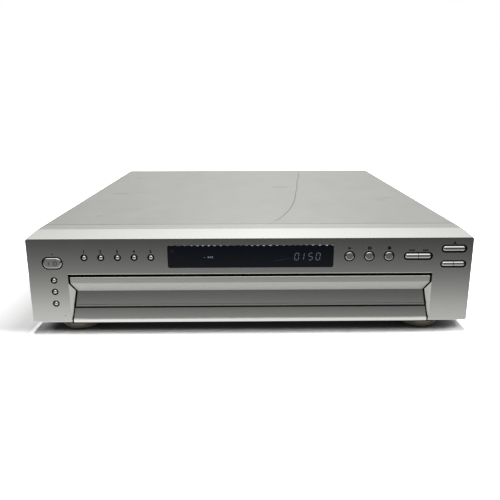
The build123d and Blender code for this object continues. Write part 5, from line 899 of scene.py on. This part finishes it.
def screw_tree(material):
    """A tree that grows a cross-recess screw head on each point."""
    tree, start, end = new_tree("screw_head", ("Head radius", "Head height", "Recess length", "Recess width"))
    radius, height, long, wide = (start.outputs[i] for i in range(1, 5))
    crown = add(tree, "ShaderNodeMath", {**TIMES, 1: CROWN}, {0: radius})
    head = add(tree, "GeometryNodeMeshCone", {"Vertices": HEAD_SIDES},
               {"Radius Top": crown, "Radius Bottom": radius, "Depth": height})
    bars = []
    for a, b in ((long, wide), (wide, long)):
        size = add(tree, "ShaderNodeCombineXYZ", links={0: a, 1: b, 2: height})
        cube = add(tree, "GeometryNodeMeshCube", links={"Size": size})
        up = add(tree, "ShaderNodeCombineXYZ", links={2: height})
        bars.append(add(tree, "GeometryNodeTransform", links={"Geometry": cube, "Translation": up}))
    cut = add(tree, "GeometryNodeMeshBoolean", {"operation": "DIFFERENCE"}, {"Mesh 1": head})
    for cutter in bars:
        tree.links.new(cutter.outputs[0], cut.inputs["Mesh 2"])
    return end_tree(tree, start, end, cut, material)


def grown(name, tree, sizes, walls, body):
    """Run a tree on the points of each wall, turn the results to their walls and join them."""
    joined = bmesh.new()
    material = next(node for node in tree.nodes if node.type == "SET_MATERIAL").inputs["Material"].default_value
    for wall, points in walls:
        mesh = bpy.data.meshes.new(name + "_points")
        mesh.from_pydata([(x * MM, y * MM, 0) for x, y in points], [], [])
        carrier = link_object(name + "_points", mesh)
        modifier = carrier.modifiers.new("grow", "NODES")
        modifier.node_group = tree
        sockets = [item for item in tree.interface.items_tree if item.in_out == "INPUT"][1:]
        for socket, value in zip(sockets, sizes):
            modifier[socket.identifier] = float(value * MM)
        ready = bpy.data.meshes.new_from_object(carrier.evaluated_get(bpy.context.evaluated_depsgraph_get()))
        carrier.modifiers.remove(modifier)
        bpy.data.objects.remove(carrier)
        ready.transform(wall)
        joined.from_mesh(ready)
    for face in joined.faces:
        face.material_index = 0
    result = bpy.data.meshes.new(name)
    joined.to_mesh(result)
    joined.free()
    result.materials.append(material)
    print(name, "faces", len(result.polygons))
    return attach(link_object(name, result), body)


def wall(x, y, z, towards):
    """The frame of a wall through a point in millimetres, with its local z along towards."""
    return Matrix.Translation(Vector((x, y, z)) * MM) @ Vector(towards).to_track_quat("Z", "Y").to_matrix().to_4x4()


def local(wall_frame, places):
    """Room places as points of a wall, both in millimetres."""
    found = [wall_frame.inverted() @ (Vector(place) * MM) for place in places]
    return [(point.x / MM, point.y / MM) for point in found]


# %% [markdown]
# Two screws hold the cover on each side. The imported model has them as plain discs, so their size and
# places are read from it, and the finished heads stand for that node.

# %% Cover screws
RECESS_TO_RADIUS, RECESS_W = 1.1, 0.75
screw_low, screw_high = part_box("cover_screws")[0] / MM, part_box("cover_screws")[1] / MM
side_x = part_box("top_cover")[1].x / MM
head_r = (screw_high.z - screw_low.z) / 2
head_h = screw_high.x - side_x
screw_z = (screw_low.z + screw_high.z) / 2
screw_ys = (screw_low.y + head_r, screw_high.y - head_r)
walls = []
for way in (-1, 1):
    side = wall(way * side_x, 0, screw_z, (way, 0, 0))
    walls.append((side, local(side, [(way * side_x, y, screw_z) for y in screw_ys])))
cover_head = (head_r, head_h, head_r * RECESS_TO_RADIUS, RECESS_W)
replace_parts(grown("cover_screw_heads", screw_tree(zinc_screw), cover_head, walls, "cabinet"), "cover_screws")

# %% [markdown]
# Smaller screws hold the rear panel along its edges and beside the sockets, and the deck from below.

# %% Rear and underside screws
# Head radius, head height, recess length and recess width
SMALL_HEAD = (2.6, 1.3, 3.0, 0.7)
REAR_SCREWS = ((-206, 16), (206, 16), (-206, 91), (206, 91), (-150, 91), (25, 79.6), (55, 79.6), (150, 30), (-175, 58),
               (106, 86))
UNDER_SCREWS = [(x, y) for x in (-130, 0, 130) for y in (-150, 20, 182)]
rear_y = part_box("rear_panel")[1].y / MM
under_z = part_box("chassis_base")[0].z / MM
rear = wall(0, rear_y, 0, (0, 1, 0))
under = wall(0, 0, under_z, (0, 0, -1))
rear_points = local(rear, [(x, rear_y, z) for x, z in REAR_SCREWS])
under_points = local(under, [(x, y, under_z) for x, y in UNDER_SCREWS])
grown("rear_screw_heads", screw_tree(black_screw), SMALL_HEAD, [(rear, rear_points)], "cabinet")
grown("under_screw_heads", screw_tree(zinc_screw), SMALL_HEAD, [(under, under_points)], "cabinet")

# %% [markdown]
# ## Sockets at the back
#
# Each phono socket is a plated barrel with a coloured plastic ring inside, so that plugs find their
# place. The same idea as for the screws: one ring, made once for each colour, on many points.

# %% Coloured rings
# Outer radius, bore radius and thickness
RING_SIZES = (3.3, 1.7, 0.5)
LOW_ROW, HIGH_ROW = 73, 86.2
RINGS = {"white": ("#d8d8d2", [(2.5, HIGH_ROW), (17.5, HIGH_ROW), (32.5, HIGH_ROW)]),
         "red": ("#a81f1c", [(2.5, LOW_ROW), (17.5, LOW_ROW), (32.5, LOW_ROW), (77.5, LOW_ROW)]),
         "yellow": ("#d9b21f", [(47.5, HIGH_ROW), (47.5, LOW_ROW)]), "green": ("#2c7a36", [(62.5, HIGH_ROW)]),
         "blue": ("#27448f", [(77.5, HIGH_ROW)]), "orange": ("#cf6a1c", [(62.5, LOW_ROW)])}


def ring_tree(material):
    """A tree that grows a flat ring on each point."""
    tree, start, end = new_tree("socket_ring", ("Outer radius", "Bore radius", "Thickness"))
    outer, bore, thick = (start.outputs[i] for i in range(1, 4))
    body = add(tree, "GeometryNodeMeshCylinder", {"Vertices": HEAD_SIDES}, {"Radius": outer, "Depth": thick})
    twice = add(tree, "ShaderNodeMath", {**TIMES, 1: 2.0}, {0: thick})
    hole = add(tree, "GeometryNodeMeshCylinder", {"Vertices": HEAD_SIDES}, {"Radius": bore, "Depth": twice})
    cut = add(tree, "GeometryNodeMeshBoolean", {"operation": "DIFFERENCE"}, {"Mesh 1": body, "Mesh 2": hole})
    return end_tree(tree, start, end, cut, material)


jack_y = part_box("rear_jacks")[1].y / MM
jacks = wall(0, jack_y, 0, (0, 1, 0))
for colour, (shade_of, places) in RINGS.items():
    plastic = finish(colour + "_socket_plastic", shade_of, roughness=0.38, grain_mm=0.5, grain=0.12, mottle_mm=3.0,
                     mottle=0.08)
    points = local(jacks, [(x, jack_y, z) for x, z in places])
    grown(colour + "_socket_rings", ring_tree(plastic), RING_SIZES, [(jacks, points)], "cabinet")

# %% [markdown]
# ## Numbers on the carousel
#
# Each well has its number near the middle of the carousel, and reads upright when that well is in
# front. The numbers ride on the carousel, so they turn with it.

# %% Well numbers
WELL_COUNT, FIRST_WELL = 5, 180
WELL_NUMBER_SIZE, WELL_NUMBER_BOLD = 11.0, 0.2
WELL_NUMBER_AT = 35.5
pale_print = finish("pale_grey_print", "#b9b9b4", roughness=0.5, grain_mm=0.4, grain=0.2, mottle_mm=3.0, mottle=0.1)
cap_low, cap_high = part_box("carousel_cap")
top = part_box("carousel")[1].z + INK_LIFT * MM
centre = Vector(((cap_low.x + cap_high.x) / 2, (cap_low.y + cap_high.y) / 2, top))
for number in range(WELL_COUNT):
    turned = Matrix.Translation(centre) @ Matrix.Rotation(radians(FIRST_WELL + 360 / WELL_COUNT * number), 4, "Z")
    figure(f"well_number_{number + 1}", str(number + 1), WELL_NUMBER_SIZE, WELL_NUMBER_BOLD, pale_print,
           turned @ Matrix.Translation((0, -WELL_NUMBER_AT * MM, 0)), "turntable")
